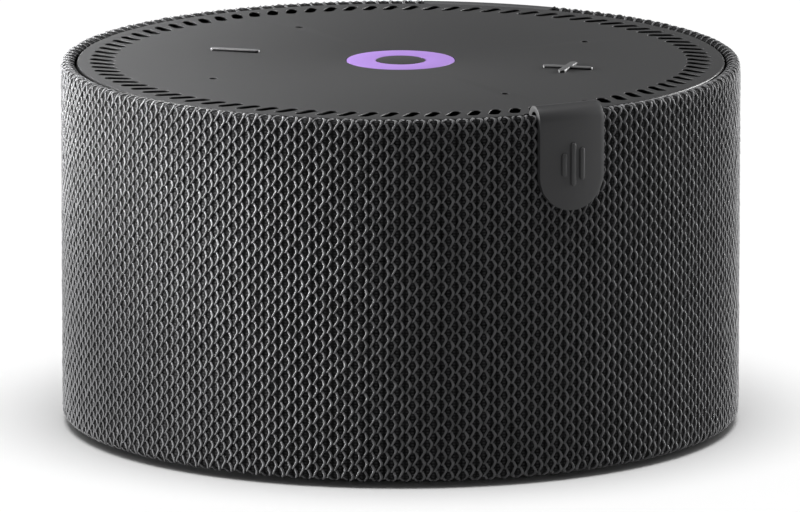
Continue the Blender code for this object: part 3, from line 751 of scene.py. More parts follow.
# Painted light and shade: the marks are the plate's plastic in a lighter colour, as painted light on
# their tops, and their sides below the Edge height are painted almost black as shade.
MARK_PAINTED_LIGHT = Finish(
    "plate_plastic", (0.07, 0.07, 0.071), 0.5, Effect.COATED, 5200, 0.1, 0.02, 0.004 * MM,
    specular=0.2, edge=PLATE_TOP + 0.3 * MM, name="mark_painted_light_and_shade",
)
SHELL = Finish("shell_plastic", (0.02, 0.02, 0.021), 0.6, scale=4200, relief=0.012 * MM)
TAB = Finish(
    "tab_rubber", (0.022, 0.022, 0.023), 0.5, scale=6500, depth=0.2, relief=0.006 * MM, specular=0.35
)
BASE = Finish(
    "shell_plastic", (0.065, 0.065, 0.0665), 0.6, scale=4200, relief=0.012 * MM, name="base_plastic"
)
FOOT = Finish("foot_rubber", (0.015, 0.015, 0.016), 0.85, scale=3000, relief=0.03 * MM)
GLOW = Finish(
    "lit_diffuser", (0.115, 0.068, 0.19), 0.6, scale=1500, depth=0.05, relief=0.003 * MM,
    specular=0.2, glow=1.6,
)
DIFFUSER = Finish("white_diffuser", (0.8, 0.8, 0.78), 0.5, depth=0.06)
CIRCUIT = Finish(
    "circuit_board", (0.012, 0.065, 0.028), 0.4, Effect.TRACES, 260, 0.9, 0.1, 0.04 * MM, coat=0.3
)
CHIP = Finish("chip_black", (0.012, 0.012, 0.013), 0.5, depth=0.3)
LED = Finish("led_white", (0.85, 0.83, 0.7), 0.35, depth=0.08, coat=0.3)
CAN = Finish("microphone_can", (0.62, 0.6, 0.56), 0.32, Effect.BRUSHED, 2600, 0.2, 0.15, metallic=1.0)
STEEL = Finish("steel", (0.5, 0.5, 0.51), 0.33, Effect.BRUSHED, 2200, 0.3, 0.2, metallic=1.0)
FERRITE = Finish("ferrite", (0.03, 0.03, 0.032), 0.65, scale=2400, depth=0.5, relief=0.04 * MM)
COPPER = Finish(
    "coil_copper", (0.72, 0.35, 0.18), 0.35, Effect.WOUND, 620, 0.6, 0.1, 0.05 * MM, metallic=1.0
)
PAPER = Finish("cone_paper", (0.03, 0.03, 0.032), 0.85, scale=1200, depth=0.6, relief=0.05 * MM)
SPIDER = Finish("spider_cloth", (0.55, 0.4, 0.15), 0.9, Effect.KNIT, 600, 0.7, 0.05, 0.05 * MM)
BUTTON = Finish("button_plastic", (0.06, 0.06, 0.062), 0.42, scale=5200, depth=0.12, relief=0.006 * MM)
PAD = Finish("heat_silicone", (0.45, 0.48, 0.55), 0.75, scale=1800, depth=0.2, relief=0.03 * MM)
FILM = Finish("ribbon_film", (0.7, 0.7, 0.68), 0.38, Effect.BRUSHED, 900, 0.35, 0.1, coat=0.2)
LEAD = Finish("lead_sleeve", (0.03, 0.03, 0.03), 0.6, scale=2600)
FINISHES = (
    NET_YARN, PLATE, SHELL, TAB, FOOT, GLOW, DIFFUSER, CIRCUIT, CHIP, LED, CAN, STEEL,
    FERRITE, COPPER, PAPER, SPIDER, BUTTON, PAD, FILM, LEAD,
)


# The studio


@dataclass
class Studio:
    """The pale floor, the soft lights and the camera."""

    bearing: float = math.radians(16.0)
    elevation: float = math.radians(11.25)
    distance: float = 1.735
    lens: float = 538.6
    look_height: float = 23.9 * MM
    floor_span: float = 30.0
    shift: float = -0.0008
    sky_light: float = 0.25
    sky_gloss: float = 0.09
    sky_seen: float = 1.05
    top_strength: float = 2.75
    top_tilt: float = math.radians(4)
    top_size: float = math.radians(40)
    key_turn: float = math.radians(-93)
    key_power: float = 27.5
    fill_turn: float = math.radians(123)
    fill_power: float = 24.0
    box_distance: float = 0.8
    box_height: float = 0.16
    box_size: Point = (0.45, 0.34)
    strip_spot: Vector = Vector((-0.19, 0, 0.15)).freeze()
    strip_aim: Vector = Vector((-46 * MM, 0, 53 * MM)).freeze()
    strip_size: Point = (0.12, 0.02)
    strip_spread: float = math.radians(16)
    strip_power: float = 0.075

    def build(self) -> None:
        """Makes everything round the object, which is not part of it."""
        self.unlit = bpy.data.collections.new("unlit_by_soft_boxes")
        self.floor()
        self.sky()
        self.lights()
        self.camera()
        LOG.info("studio: floor, sky, lights and camera")

    def floor(self) -> None:
        """A wide pale floor with a faint grain."""
        put_down()
        bpy.ops.mesh.primitive_plane_add(size=self.floor_span)
        floor = bpy.context.object
        floor.name = "floor"
        made = bpy.data.materials.new("studio_floor")
        made.use_nodes = True
        graph = Graph(made.node_tree)
        shader = made.node_tree.nodes["Principled BSDF"]
        place = graph.add("TexCoord").outputs["Object"]
        cloud = graph.noise(place, 3.0)
        colour = graph.mix(cloud, (0.9, 0.9, 0.9, 1), (0.93, 0.93, 0.93, 1))
        made.node_tree.links.new(colour, shader.inputs["Base Color"])
        shader.inputs["Roughness"].default_value = 0.9
        shader.inputs["Specular IOR Level"].default_value = 0.0
        floor.data.materials.append(made)
        self.unlit.objects.link(floor)
        self.unlit.collection_objects[0].light_linking.link_state = "EXCLUDE"

    def sky(self) -> None:
        """A white sky to look at, which gives only a little light."""
        world = bpy.data.worlds.new("studio_sky")
        bpy.context.scene.world = world
        world.use_nodes = True
        graph = Graph(world.node_tree)
        path = graph.add("LightPath")
        glossy, seen = path.outputs["Is Glossy Ray"], path.outputs["Is Camera Ray"]
        light = graph.math("MULTIPLY_ADD", glossy, self.sky_gloss - self.sky_light, self.sky_light)
        strength = graph.math("MULTIPLY_ADD", seen, self.sky_seen - self.sky_light, light)
        background = world.node_tree.nodes["Background"]
        background.inputs["Color"].default_value = (1, 1, 1, 1)
        world.node_tree.links.new(strength, background.inputs["Strength"])

    def panel_light(self, name: str, spot: Vector, aim: Vector, size: Point, power: float) -> Piece:
        """A flat light that lights the hub but not the floor, and doesn't show.

        Args:
            name: The light's name.
            spot: Where it stands.
            aim: The point that it faces.
            size: Its width and height.
            power: Its power, in watts.

        Returns:
            The light.
        """
        bpy.ops.object.light_add(type="AREA", location=spot)
        panel = bpy.context.object
        panel.name = name
        panel.data.shape = "RECTANGLE"
        panel.data.size, panel.data.size_y = size
        panel.data.energy = power
        panel.rotation_euler = (aim - spot).to_track_quat("-Z", "Y").to_euler()
        panel.visible_camera = False
        panel.light_linking.receiver_collection = self.unlit
        return panel

    def soft_box(self, name: str, turn: float, power: float) -> None:
        """A soft box that faces the middle of the hub.

        Args:
            name: The light's name.
            turn: Its angle round the hub, from the viewer towards the right.
            power: Its power, in watts.
        """
        bearing = self.bearing + turn
        spot = Vector((math.sin(bearing), -math.cos(bearing), 0)) * self.box_distance
        spot.z = self.box_height
        self.panel_light(name, spot, Vector((0, 0, self.look_height)), self.box_size, power)

    def strip(self) -> None:
        """A narrow strip on the left that catches the near end of the plate and fades across it."""
        view = Matrix.Rotation(self.bearing, 3, "Z")
        spot, aim = view @ self.strip_spot, view @ self.strip_aim
        strip = self.panel_light("strip_light", spot, aim, self.strip_size, self.strip_power)
        strip.data.spread = self.strip_spread

    def lights(self) -> None:
        """A strong soft box on the left, a weaker one behind on the right, a strip and a top light."""
        self.strip()
        self.soft_box("key_light", self.key_turn, self.key_power)
        self.soft_box("fill_light", self.fill_turn, self.fill_power)
        bpy.ops.object.light_add(type="SUN", location=(0, 0, 1))
        top = bpy.context.object
        top.name = "top_light"
        top.data.energy = self.top_strength
        top.data.angle = self.top_size
        top.rotation_euler = (self.top_tilt, 0, self.bearing)

    def camera(self) -> None:
        """A long lens, a little above the table and to the right of the front."""
        level = math.cos(self.elevation)
        back = Vector(
            (math.sin(self.bearing) * level, -math.cos(self.bearing) * level, math.sin(self.elevation))
        )
        aim = Vector((0, 0, self.look_height))
        bpy.ops.object.camera_add(location=aim + back * self.distance)
        camera = bpy.context.object
        camera.name = "camera"
        camera.rotation_euler = (-back).to_track_quat("-Z", "Y").to_euler()
        camera.data.lens = self.lens
        camera.data.shift_x = self.shift
        bpy.context.scene.camera = camera
        bpy.context.scene.view_settings.view_transform = "Standard"


# The hub


class Assembly:
    """What every sub-assembly can do with its pieces."""

    body: Body = Body.HOUSING

    def keep(self, piece: Piece, finish: Finish, *nodes: str, body: Body | None = None) -> Piece:
        """Dresses a piece, puts it on its body and reports it.

        Args:
            piece: The finished piece.
            finish: Its surface.
            nodes: The CAD nodes that it stands for.
            body: The body that it rides on, where it isn't the assembly's own.

        Returns:
            The same piece.
        """
        finish.put_on(piece)
        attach(piece, (body or self.body).value)
        if nodes:
            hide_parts(*nodes)
        faces = len(piece.data.polygons)
        LOG.info("%s: %d faces, for %s", piece.name, faces, ", ".join(nodes) or "no node")
        return piece


@dataclass
class TouchPlate(Assembly):
    """The touch plate with its slots, holes and marks, and the light in its middle."""

    top: float = PLATE_TOP
    bottom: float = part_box("light_ring")[0].z
    slot_count: int = 90
    slot_radius: float = 43.1 * MM
    slot_length: float = 4.0 * MM
    slot_width: float = 1.6 * MM
    slot_lean: float = math.radians(27)
    edge_round: float = 0.04 * MM
    lip: float = 0.14 * MM
    undercut: float = 0.26 * MM
    microphone_radius: float = 30.7 * MM
    mark_distance: float = 25.0 * MM
    mark_length: float = 7.4 * MM
    mark_width: float = 1.1 * MM
    mark_height: float = 0.4 * MM
    notch_centre: float = 47.65 * MM
    notch_size: tuple[float, float, float] = (4.0 * MM, 11.4 * MM, 6.0 * MM)

    def build(self) -> None:
        """Makes the plate, its marks, the lit ring and the cap."""
        self.plate()
        self.marks()
        self.ring()
        self.cap()

    def plate(self) -> None:
        """A turned disc, pierced with slots, microphone holes and the notch for the tab."""
        top, bottom = self.top / MM, self.bottom / MM
        outline = softened(
            [(7.92, bottom, 0), (46.8, bottom, 0), (46.8, top, 0.28), (38.0, top, 0), (7.92, top, 0.08)]
        )
        plate = turned("touch_plate", outline, 180)
        through = self.bottom - MM
        soft, lip, under = self.edge_round, self.lip, self.undercut
        levels = [
            (through, under),
            (self.top - lip - under, under),
            (self.top - lip, 0.0),
            (self.top - soft, 0.0),
            (self.top - 0.3 * soft, 0.3 * soft),
            (self.top, soft),
            (self.top + MM, soft),
        ]
        slot = bar("slot_tool", self.slot_length, self.slot_width, levels)
        slot.location.x = self.slot_radius
        slot.rotation_euler.z = -self.slot_lean
        ring_of(settle(slot), self.slot_count)
        hole = bar("hole_tool", 1.2 * MM, 1.2 * MM, levels)
        hole.location = self.microphone_radius * Vector((math.sqrt(0.5), math.sqrt(0.5), 0))
        ring_of(settle(hole), 4)
        cut(plate, [slot, hole, self.notch()])
        self.keep(smooth(plate), PLATE, "top_plate")

    def notch(self) -> Piece:
        """The tool that makes room for the tab at the plate's edge.

        Returns:
            A block with its upright edges rounded.
        """
        put_down()
        bpy.ops.mesh.primitive_cube_add(size=1, location=(self.notch_centre, 0, self.top))
        notch = bpy.context.object
        notch.scale = self.notch_size
        settle(notch)
        bpy.ops.object.mode_set(mode="EDIT")
        inner = self.notch_centre - self.notch_size[0] / 4
        choose(notch, "EDGE", lambda at: abs(at.z - self.top) < MM / 10 and at.x < inner)
        bpy.ops.mesh.bevel(offset=0.5 * MM, segments=4, affect="EDGES")
        bpy.ops.object.mode_set(mode="OBJECT")
        notch.rotation_euler.z = RimTab.bearing
        return settle(notch)

    def marks(self) -> None:
        """The raised minus and plus, with round ends and soft tops."""
        foot, crest = self.top - 0.2 * MM, self.top + self.mark_height
        levels = [
            (foot, 0.0),
            (crest - 0.12 * MM, 0.0),
            (crest - 0.03 * MM, -0.04 * MM),
            (crest, -0.13 * MM),
        ]
        minus = bar("minus_mark", self.mark_length, self.mark_width, levels)
        minus.location.x = -self.mark_distance
        self.keep(smooth(settle(minus)), MARK_PAINTED_LIGHT)
        plus = bar("plus_mark", self.mark_length, self.mark_width, levels)
        arm = bar("plus_arm", self.mark_length, self.mark_width, levels)
        arm.rotation_euler.z = math.radians(90)
        settle(arm)
        cut(plus, [arm], "UNION")
        plus.location.x = self.mark_distance
        self.keep(smooth(settle(plus)), MARK_PAINTED_LIGHT)

    def ring(self) -> None:
        """The lit ring, flush with the plate."""
        top, bottom = self.top / MM, self.bottom / MM
        outline = softened([(3.7, bottom, 0), (7.8, bottom, 0), (7.8, top, 0.06), (3.7, top, 0.06)])
        self.keep(smooth(turned("glow_ring", outline, 96)), GLOW, "light_ring")

    def cap(self) -> None:
        """The cap in the middle of the ring, with its peg."""
        top, bottom = self.top / MM, self.bottom / MM
        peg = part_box("ring_core")[0].z / MM
        outline = softened(
            [
                (0, peg, 0),
                (1.6, peg, 0.2),
                (1.6, bottom, 0),
                (3.58, bottom, 0),
                (3.58, top, 0.1),
                (0, top, 0),
            ]
        )
        self.keep(smooth(turned("ring_cap", outline, 64)), PLATE, "ring_core")


@dataclass(frozen=True)
class Bend:
    """One round stretch of the line that the cloth follows."""

    centre: Point
    radius: float
    first: float
    last: float

    @property
    def length(self) -> float:
        """How long the stretch is."""
        return self.radius * abs(self.last - self.first)

    def at(self, share: float) -> tuple[Point, Point]:
        """The point and the outward direction at a share of the stretch."""
        angle = self.first + (self.last - self.first) * share
        out = (math.cos(angle), math.sin(angle))
        return (self.centre[0] + self.radius * out[0], self.centre[1] + self.radius * out[1]), out


@dataclass(frozen=True)
class WallLine:
    """The line up the wall on which the backing lies: a roll, the wall and a roll."""

    under: Bend = Bend((47.9 * MM, 2.8 * MM), 1.6 * MM, math.radians(-125), math.radians(-90))
    low: Bend = Bend((47.9 * MM, 2.1 * MM), 0.9 * MM, math.radians(-90), 0.0)
    high: Bend = Bend((48.27 * MM, 52.32 * MM), 0.53 * MM, 0.0, math.radians(90))
    inner: Bend = Bend((48.27 * MM, 51.25 * MM), 1.6 * MM, math.radians(90), math.radians(134))

    @property
    def radius(self) -> float:
        """The radius of the straight wall."""
        return self.low.centre[0] + self.low.radius

    @property
    def foot(self) -> float:
        """How far along the line the straight wall starts."""
        return self.under.length + self.low.length

    @property
    def wall(self) -> float:
        """The length of the straight wall."""
        return self.high.centre[1] - self.low.centre[1]

    @property
    def length(self) -> float:
        """The whole length."""
        return self.foot + self.wall + self.high.length + self.inner.length

    def at(self, distance: float) -> tuple[Point, Point]:
        """Finds a place on the line.

        Args:
            distance: How far along the line, from its lower end.

        Returns:
            The radius and height there, and the outward direction.
        """
        for bend in (self.under, self.low, None, self.high, self.inner):
            span = bend.length if bend else self.wall
            if distance <= span or bend is self.inner:
                break
            distance -= span
        share = min(distance / span, 1.0)
        if bend:
            return bend.at(share)
        return (self.radius, self.low.centre[1] + self.wall * share), (1.0, 0.0)

    def stations(self) -> list[float]:
        """Distances that draw the whole line, close together on its bends.

        Returns:
            The distances, from 0 to the whole length.
        """
        found, start = [0.0], 0.0
        for length, count in (
            (self.under.length, 4),
            (self.low.length, 6),
            (self.wall, 16),
            (self.high.length, 8),
            (self.inner.length, 5),
        ):
            found += [start + length * (i + 1) / count for i in range(count)]
            start += length
        return found


@dataclass(frozen=True)
class Stop:
    """One section of a stitch.

    Its drop is a share of the stitch's height, and its height a share of the yarn's.
    """

    across: float
    drop: float
    half_width: float
    height: float


STITCH = (
    Stop(-0.1 * MM, -0.02, 0.18 * MM, 0.68),
    Stop(0.22 * MM, 0.28, 0.21 * MM, 0.8),
    Stop(0.31 * MM, 0.4, 0.22 * MM, 0.85),
    Stop(0.24 * MM, 0.52, 0.19 * MM, 0.9),
    Stop(-0.33 * MM, 1.03, 0.15 * MM, 1.0),
)


def finer(stitch: tuple[Stop, ...]) -> tuple[Stop, ...]:
    """Puts a section halfway between every two of a stitch, for a tight bend.

    Args:
        stitch: The sections of a stitch.

    Returns:
        The same stitch in smaller steps.
    """
    found = [stitch[0]]
    for before, after in zip(stitch, stitch[1:]):
        found.append(
            Stop(
                (before.across + after.across) / 2,
                (before.drop + after.drop) / 2,
                (before.half_width + after.half_width) / 2,
                (before.height + after.height) / 2,
            )
        )
        found.append(after)
    return tuple(found)


@dataclass
class NetCover(Assembly):
    """The knitted net: a dark backing cloth with a raised net of yarn on it."""

    line: WallLine = WallLine()
    rear: float = math.radians(90)
    half_gap: float = math.radians(12.25)
    columns: int = 141
    rows: int = 29
    yarn_height: float = 0.32 * MM
    roll_lift: float = 0.65
    cloth_thickness: float = 0.35 * MM
    slack: float = 0.2 * MM
    slack_size: float = 1.3 * MM
    backing_steps: int = 240
    tuck: tuple[float, float] = (0.25 * MM, 0.65 * MM)
    stitch_width: float = 1.05
    stitch_thickness: float = 0.64

    @property
    def sweep(self) -> float:
        """The angle that the cloth covers."""
        return math.tau - 2 * self.half_gap

    @property
    def radius(self) -> float:
        """The radius of the cloth on the wall."""
        return self.line.radius

    @property
    def period(self) -> float:
        """The height of a stitch."""
        return self.line.length / self.rows

    def build(self) -> None:
        """Makes the backing and the net."""
        parts = ("net_left", "net_front", "net_right")
        count = self.columns // len(parts)
        nets = [self.net(name, number * count, count) for number, name in enumerate(parts)]
        backing, across = self.backing()
        for net in nets:
            self.keep(net, NET_YARN)
        self.keep(backing, NET_BACKING, "fabric_sleeve")
        self.line.length

    def lay(self, piece: Piece) -> Piece:
        """Lays a flat piece on the wall line and round the wall.

        Args:
            piece: A mesh whose X runs round the wall, Y up the line and Z out of the cloth.

        Returns:
            The same piece. What stands past either end of the wall is turned inwards.
        """
        wide = self.sweep * self.radius
        roll = self.line.foot + self.line.wall
        for vertex in piece.data.vertices:
            x, y, lift = vertex.co
            (r, z), out = self.line.at(max(y, 0.0))
            if y > roll:
                lift *= self.roll_lift
            along = min(max(x, 0.0), wide)
            bearing = self.rear + self.half_gap + along / self.radius
            r += out[0] * lift - abs(x - along)
            vertex.co = (r * math.cos(bearing), r * math.sin(bearing), z + out[1] * lift)
        return piece

    def backing(self) -> tuple[Piece, float]:
        """The cloth behind the net, tucked in at both sides of the rear panel.

        Returns:
            The cloth and its width, laid flat.
        """
        wide = self.sweep * self.radius
        heights = self.line.stations()
        middle = (wide / 2, heights[1] / 2, 0)
        put_down()
        bpy.ops.mesh.primitive_grid_add(
            x_subdivisions=self.backing_steps, y_subdivisions=1, size=1, location=middle
        )
        backing = bpy.context.object
        backing.name = "net_backing"
        backing.scale = (wide, heights[1], 1)
        settle(backing)
        bpy.ops.object.mode_set(mode="EDIT")
        choose(backing, "EDGE", lambda at: at.y > 0.9 * heights[1])
        for low, high in zip(heights[1:], heights[2:]):
            bpy.ops.mesh.extrude_region_move(TRANSFORM_OT_translate={"value": (0, high - low, 0)})
        for side, way in ((0.0, -1), (wide, 1)):
            choose(backing, "EDGE", lambda at: abs(at.x - side) < 0.001 * MM)
            for step in self.tuck:
                bpy.ops.mesh.extrude_region_move(TRANSFORM_OT_translate={"value": (way * step, 0, 0)})
        bpy.ops.object.mode_set(mode="OBJECT")
        cloth = backing.data.uv_layers.active
        for loop in backing.data.loops:
            cloth.data[loop.index].uv = backing.data.vertices[loop.vertex_index].co.xy
        self.lay(backing)
        work(backing, "SOLIDIFY", thickness=self.cloth_thickness, offset=-1.0)
        return smooth(backing, 60), wide + 2 * (self.tuck[0] + self.tuck[1])

    def net(self, name: str, first: int, count: int) -> Piece:
        """A stretch of the net: two strands side by side, laid on the wall and copied round it.

        Args:
            name: The piece's name.
            first: The number of its first column.
            count: How many columns it has.

        Returns:
            The net, with a little slack in it.
        """
        pitch = self.sweep / self.columns
        strands = []
        for number in range(2):
            across = (first + 0.25 + 0.5 * number) * pitch * self.radius
            strands += self.strand(across, 0.5 * number * self.period)
        pick_up(*strands)
        bpy.ops.object.join()
        net = bpy.context.object
        net.name = name
        self.lay(net)
        ring_of(net, count, pitch * count)
        clouds = bpy.data.textures.get("net_slack") or bpy.data.textures.new("net_slack", "CLOUDS")
        clouds.noise_scale = self.slack_size
        clouds.cloud_type = "COLOR"
        work(net, "DISPLACE", texture=clouds, direction="RGB_TO_XYZ", strength=self.slack)
        pick_up(net)
        bpy.ops.object.shade_smooth()
        return net

    def strand(self, across: float, drop: float) -> list[Piece]:
        """One upright row of flat stitches, made of finer ones where the cloth rolls over an edge.

        Args:
            across: How far round the wall it stands.
            drop: How much lower than the cloth's top its first stitch hangs.

        Returns:
            The stretches of the row, from the bottom to the top.
        """
        foot, wall = self.line.foot, self.line.wall
        tops = [(row + 1) * self.period - drop for row in range(self.rows)]
        found = []
        for plain, group in groupby(tops, lambda top: foot < top - self.period and top < foot + wall):
            heights = list(group)
            piece = self.flat_stitch(STITCH if plain else finer(finer(STITCH)))
            piece.location = (across, heights[0], 0)
            settle(piece)
            work(
                piece,
                "ARRAY",
                count=len(heights),
                use_relative_offset=False,
                use_constant_offset=True,
                constant_offset_displace=(0, self.period, 0),
            )
            found.append(piece)
        return found

    def flat_stitch(self, stitch: tuple[Stop, ...]) -> Piece:
        """A stitch, lying flat: a round end drawn out through its sections.

        Args:
            stitch: The sections, from the top down.

        Returns:
            The closed stitch.
        """
        put_down()
        bpy.ops.mesh.primitive_circle_add(
            vertices=5, radius=MM, fill_type="NGON", rotation=(math.radians(90), 0, 0)
        )
        piece = bpy.context.object
        settle(piece)
        bpy.ops.object.mode_set(mode="EDIT")
        bpy.ops.mesh.select_mode(type="FACE")
        bpy.ops.mesh.select_all(action="SELECT")
        width, height, at = MM, MM, Vector((0, 0, 0))
        for number, stop in enumerate(stitch):
            tall = stop.height * self.yarn_height
            wider, taller = self.stitch_width * stop.half_width, self.stitch_thickness * tall
            there = Vector((stop.across, -stop.drop * self.period, tall - taller))
            if number:
                bpy.ops.mesh.extrude_region_move(TRANSFORM_OT_translate={"value": there - at})
            else:
                bpy.ops.transform.translate(value=there)
            bpy.ops.transform.resize(value=(wider / width, 1, taller / height), center_override=there)
            width, height, at = wider, taller, there
        bpy.ops.object.mode_set(mode="OBJECT")
        return tidy_mesh(piece)


@dataclass
class RimTab(Assembly):
    """The soft rubber tab that hangs over the rim at the front right, with a raised mark."""

    bearing: float = math.radians(-45)
    half_width: float = 5.2 * MM
    thickness: float = 0.85 * MM
    face_radius: float = 50.15 * MM
    tip: float = 39.2 * MM
    roll_centre: Point = (48.05 * MM, 51.9 * MM)
    roll_out: float = 2.1 * MM
    roll_up: float = 2.35 * MM
    lip: float = 51.2 * MM
    mark_centre: float = 45.8 * MM
    mark_relief: float = 0.3 * MM
    mark_pitch: float = 1.45 * MM
    mark_lengths: tuple[float, ...] = (3.4 * MM, 6.2 * MM, 4.6 * MM)
    columns: int = 16

    def build(self) -> None:
        """Makes the tab and the three bars of its mark."""
        self.tab()
        self.mark()

    def rows(self) -> list[tuple[float, float, float]]:
        """Finds the rows across the tab, from its tip to its lip.

        Returns:
            The half width, radius and height of each row.
        """
        round_rows, straight_rows, roll_rows = 10, 8, 20
        found = []
        for i in range(round_rows + 1):
            angle = math.pi / 2 * (1 - i / round_rows)
            height = self.tip + self.half_width * (1 - math.sin(angle))
            found.append((self.half_width * math.cos(angle), self.face_radius, height))
        low = self.tip + self.half_width
        for i in range(1, straight_rows):
            height = low + (self.roll_centre[1] - low) * i / straight_rows
            found.append((self.half_width, self.face_radius, height))
        for i in range(roll_rows + 1):
            angle = math.pi * i / roll_rows
            at = self.roll_centre[0] + self.roll_out * math.cos(angle)
            found.append((self.half_width, at, self.roll_centre[1] + self.roll_up * math.sin(angle)))
        found.append((self.half_width, self.roll_centre[0] - self.roll_out, self.lip))
        return found

    def tab(self) -> None:
        """A strip with a round end, laid over the rim, thickened and softened."""
        rows = self.rows()
        steps = len(rows) - 1
        put_down()
        bpy.ops.mesh.primitive_grid_add(x_subdivisions=self.columns, y_subdivisions=steps, size=1)
        tab = bpy.context.object
        tab.name = "rubber_tab"
        for vert in tab.data.vertices:
            half, radius, height = rows[round((vert.co.y + 0.5) * steps)]
            bearing = self.bearing + 2 * vert.co.x * half / self.face_radius
            vert.co = (radius * math.cos(bearing), radius * math.sin(bearing), height)
        bpy.ops.object.mode_set(mode="EDIT")
        bpy.ops.mesh.select_all(action="SELECT")
        bpy.ops.mesh.remove_doubles(threshold=0.001 * MM)
        bpy.ops.object.mode_set(mode="OBJECT")
        work(tab, "SOLIDIFY", thickness=self.thickness, offset=-1.0)
        soften_edges(tab, 0.2 * MM, 3, 50)
        self.keep(smooth(tidy_mesh(tab), 40), TAB, "rim_tab")

    def mark(self) -> None:
        """Three upright bars of different lengths, as a level meter shows."""
        sunk, relief = -0.15 * MM, self.mark_relief
        levels = [
            (sunk, 0.0),
            (relief - 0.14 * MM, 0.0),
            (relief - 0.04 * MM, -0.06 * MM),
            (relief, -0.16 * MM),
        ]
        for number, length in enumerate(self.mark_lengths, start=1):
            across = (number - 2) * self.mark_pitch
            one = bar(f"tab_mark_{number}", length, 0.8 * MM, levels)
            stand_out(one, self.face_radius, self.bearing + across / self.face_radius, self.mark_centre)
            self.keep(smooth(one), TAB)


@dataclass
class RearPanel(Assembly):
    """The smooth panel between the two ends of the cloth, with the button and the sockets."""

    half_angle: float = math.radians(12.0)
    rear: float = math.radians(90)
    socket_height: float = 13.0 * MM
    power_x: float = -5.1 * MM
    audio_x: float = 5.1 * MM
    socket_hole: float = 6.6 * MM
    button_height: float = 28.0 * MM
    button_hole: float = 6.6 * MM
    jack_front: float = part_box("dc_jack")[1].y

    def build(self) -> None:
        """Makes the panel, the button and the metal parts in the sockets."""
        self.panel()
        self.button()
        self.contacts()

    def panel(self) -> None:
        """A turned strip of wall with three soft-edged holes."""
        low, high = (47.0 * MM, 3.0 * MM), (48.0 * MM, 52.0 * MM)
        outline = arc(low, 2.0 * MM, -95, 0, 8) + arc(high, 1.0 * MM, 0, 180, 10)
        outline += arc(high, 0.2 * MM, 180, 0, 4) + arc(low, 1.2 * MM, 0, -95, 4)
        panel = turned("back_panel", outline, 24, self.rear - self.half_angle, 2 * self.half_angle)
        soften_edges(panel, 0.15 * MM, 2, 60)
        tools = []
        for x, height, across in (
            (self.power_x, self.socket_height, self.socket_hole),
            (self.audio_x, self.socket_height, self.socket_hole),
            (0.0, self.button_height, self.button_hole),
        ):
            face = math.sqrt((49.0 * MM) ** 2 - x**2)
            soft = 0.25 * MM
            levels = [(40 * MM, 0.0), (face - soft, 0.0), (face, soft), (face + 2 * MM, 3 * soft)]
            tool = bar("hole_tool", across, across, levels, 40)
            stand_out(tool, 0.0, self.rear, height)
            tool.location.x = x
            tools.append(settle(tool))
        cut(panel, tools)
        self.keep(smooth(panel), SHELL, "rear_panel")

    def button(self) -> None:
        """The microphone-off button, with a dished face and a guide flange."""
        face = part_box("mute_button")[1].y / MM
        outline = softened(
            [
                (0, face - 3.3, 0),
                (1.2, face - 3.3, 0.1),
                (1.2, face - 2.0, 0),
                (3.9, face - 2.0, 0.1),
                (3.9, face - 1.2, 0.1),
                (3.0, face - 1.2, 0),
                (3.0, face, 0.25),
                (2.3, face, 0.3),
                (1.2, face - 0.2, 0.8),
                (0, face - 0.25, 0),
            ]
        )
        button = turned("mic_off_button", outline, 64)
        stand_out(button, 0.0, self.rear, self.button_height)
        self.keep(smooth(button), BUTTON, "mute_button", body=Body.MUTE_KEY)

    def contacts(self) -> None:
        """The plated sleeve and pin of the power inlet, and the bush of the audio socket."""
        front = self.jack_front / MM
        sleeve = softened(
            [
                (2.75, front - 9, 0),
                (3.0, front - 9, 0),
                (3.0, front - 0.3, 0.05),
                (2.75, front - 0.3, 0.1),
            ]
        )
        pin = softened(
            [
                (0, front - 9.3, 0),
                (1.06, front - 9.3, 0),
                (1.06, front - 0.9, 0.5),
                (0, front - 0.9, 0),
            ]
        )
        bush = softened(
            [
                (1.72, front - 1.2, 0),
                (1.79, front - 1.2, 0),
                (1.79, front + 0.02, 0),
                (2.6, front + 0.02, 0),
                (2.6, front + 0.35, 0.15),
                (1.72, front + 0.35, 0.15),
            ]
        )
        for name, outline, x in (
            ("power_sleeve", sleeve, self.power_x),
            ("power_pin", pin, self.power_x),
            ("audio_bush", bush, self.audio_x),
        ):
            piece = turned(name, outline, 48)
            stand_out(piece, 0.0, self.rear, self.socket_height)
            piece.location.x = x
            self.keep(smooth(settle(piece)), STEEL)


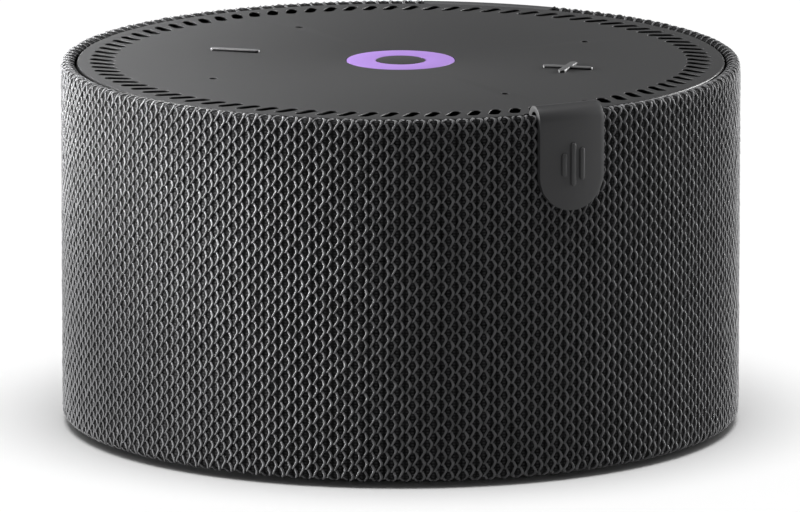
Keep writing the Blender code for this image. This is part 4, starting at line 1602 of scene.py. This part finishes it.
@dataclass
class Base(Assembly):
    """The base cover and the rubber ring that the hub stands on."""

    screw_distance: float = 43.5 * MM
    steps: int = 144

    def build(self) -> None:
        """Makes the cover and the ring."""
        self.cover()
        self.foot()

    def cover(self) -> None:
        """A turned cover with a groove for the foot, and four screw seats in it."""
        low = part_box("base_cover")[0].z / MM
        outline = softened(
            [
                (0, low, 0),
                (37.7, low, 0.15),
                (37.7, 0.95, 0),
                (43.5, 0.95, 0),
                (43.5, low, 0.1),
                (44.4, low, 0.3),
                (46.2, 1.5, 0.5),
                (46.2, 3.0, 0.3),
                (0, 3.0, 0),
            ]
        )
        cover = turned("base_plate", outline, self.steps)
        tools = []
        for across, low_end, high_end in ((3.8 * MM, 0.5 * MM, 2.1 * MM), (2.6 * MM, 0.0, 4.0 * MM)):
            tool = bar("seat_tool", across, across, [(low_end, 0.0), (high_end, 0.0)], 24)
            tool.location = self.screw_distance * Vector((math.sqrt(0.5), math.sqrt(0.5), 0))
            cut(cover, [ring_of(settle(tool), 4)])
        posts = bar("post", 5 * MM, 5 * MM, [(2 * MM, 0.0), (5.7 * MM, 0.0)], 24)
        posts.location = 30 * MM * Vector((math.sqrt(0.5), math.sqrt(0.5), 0))
        cut(cover, [ring_of(settle(posts), 4)], "UNION")
        self.keep(smooth(cover), BASE, "base_cover")

    def foot(self) -> None:
        """A flat rubber ring with soft lower edges."""
        outline = softened([(38, 0.65, 0.1), (38, 0, 0.2), (43.3, 0, 0.2), (43.3, 0.65, 0.1)])
        self.keep(smooth(turned("rubber_foot", outline, self.steps)), FOOT, "foot_ring")


@dataclass
class Insides(Assembly):
    """The CAD nodes that stay as they are and get their real finishes."""

    def build(self) -> None:
        """Dresses every CAD node by the slot that the record gives it."""
        by_slot = {finish.slot: finish for finish in FINISHES}
        for row in frame["record"]["subparts"]:
            node = frame["nodes"][row["node"]]
            by_slot[row["material_slot"]].put_on(node)


def main() -> None:
    """Builds the studio, then the hub from the outside in."""
    logging.basicConfig(level=logging.INFO, format="%(name)s: %(message)s")
    put_down()
    for part in (Studio(), Insides(), TouchPlate(), NetCover(), RimTab(), RearPanel(), Base()):
        part.build()
    put_down()


if __name__ == "__main__":
    main()
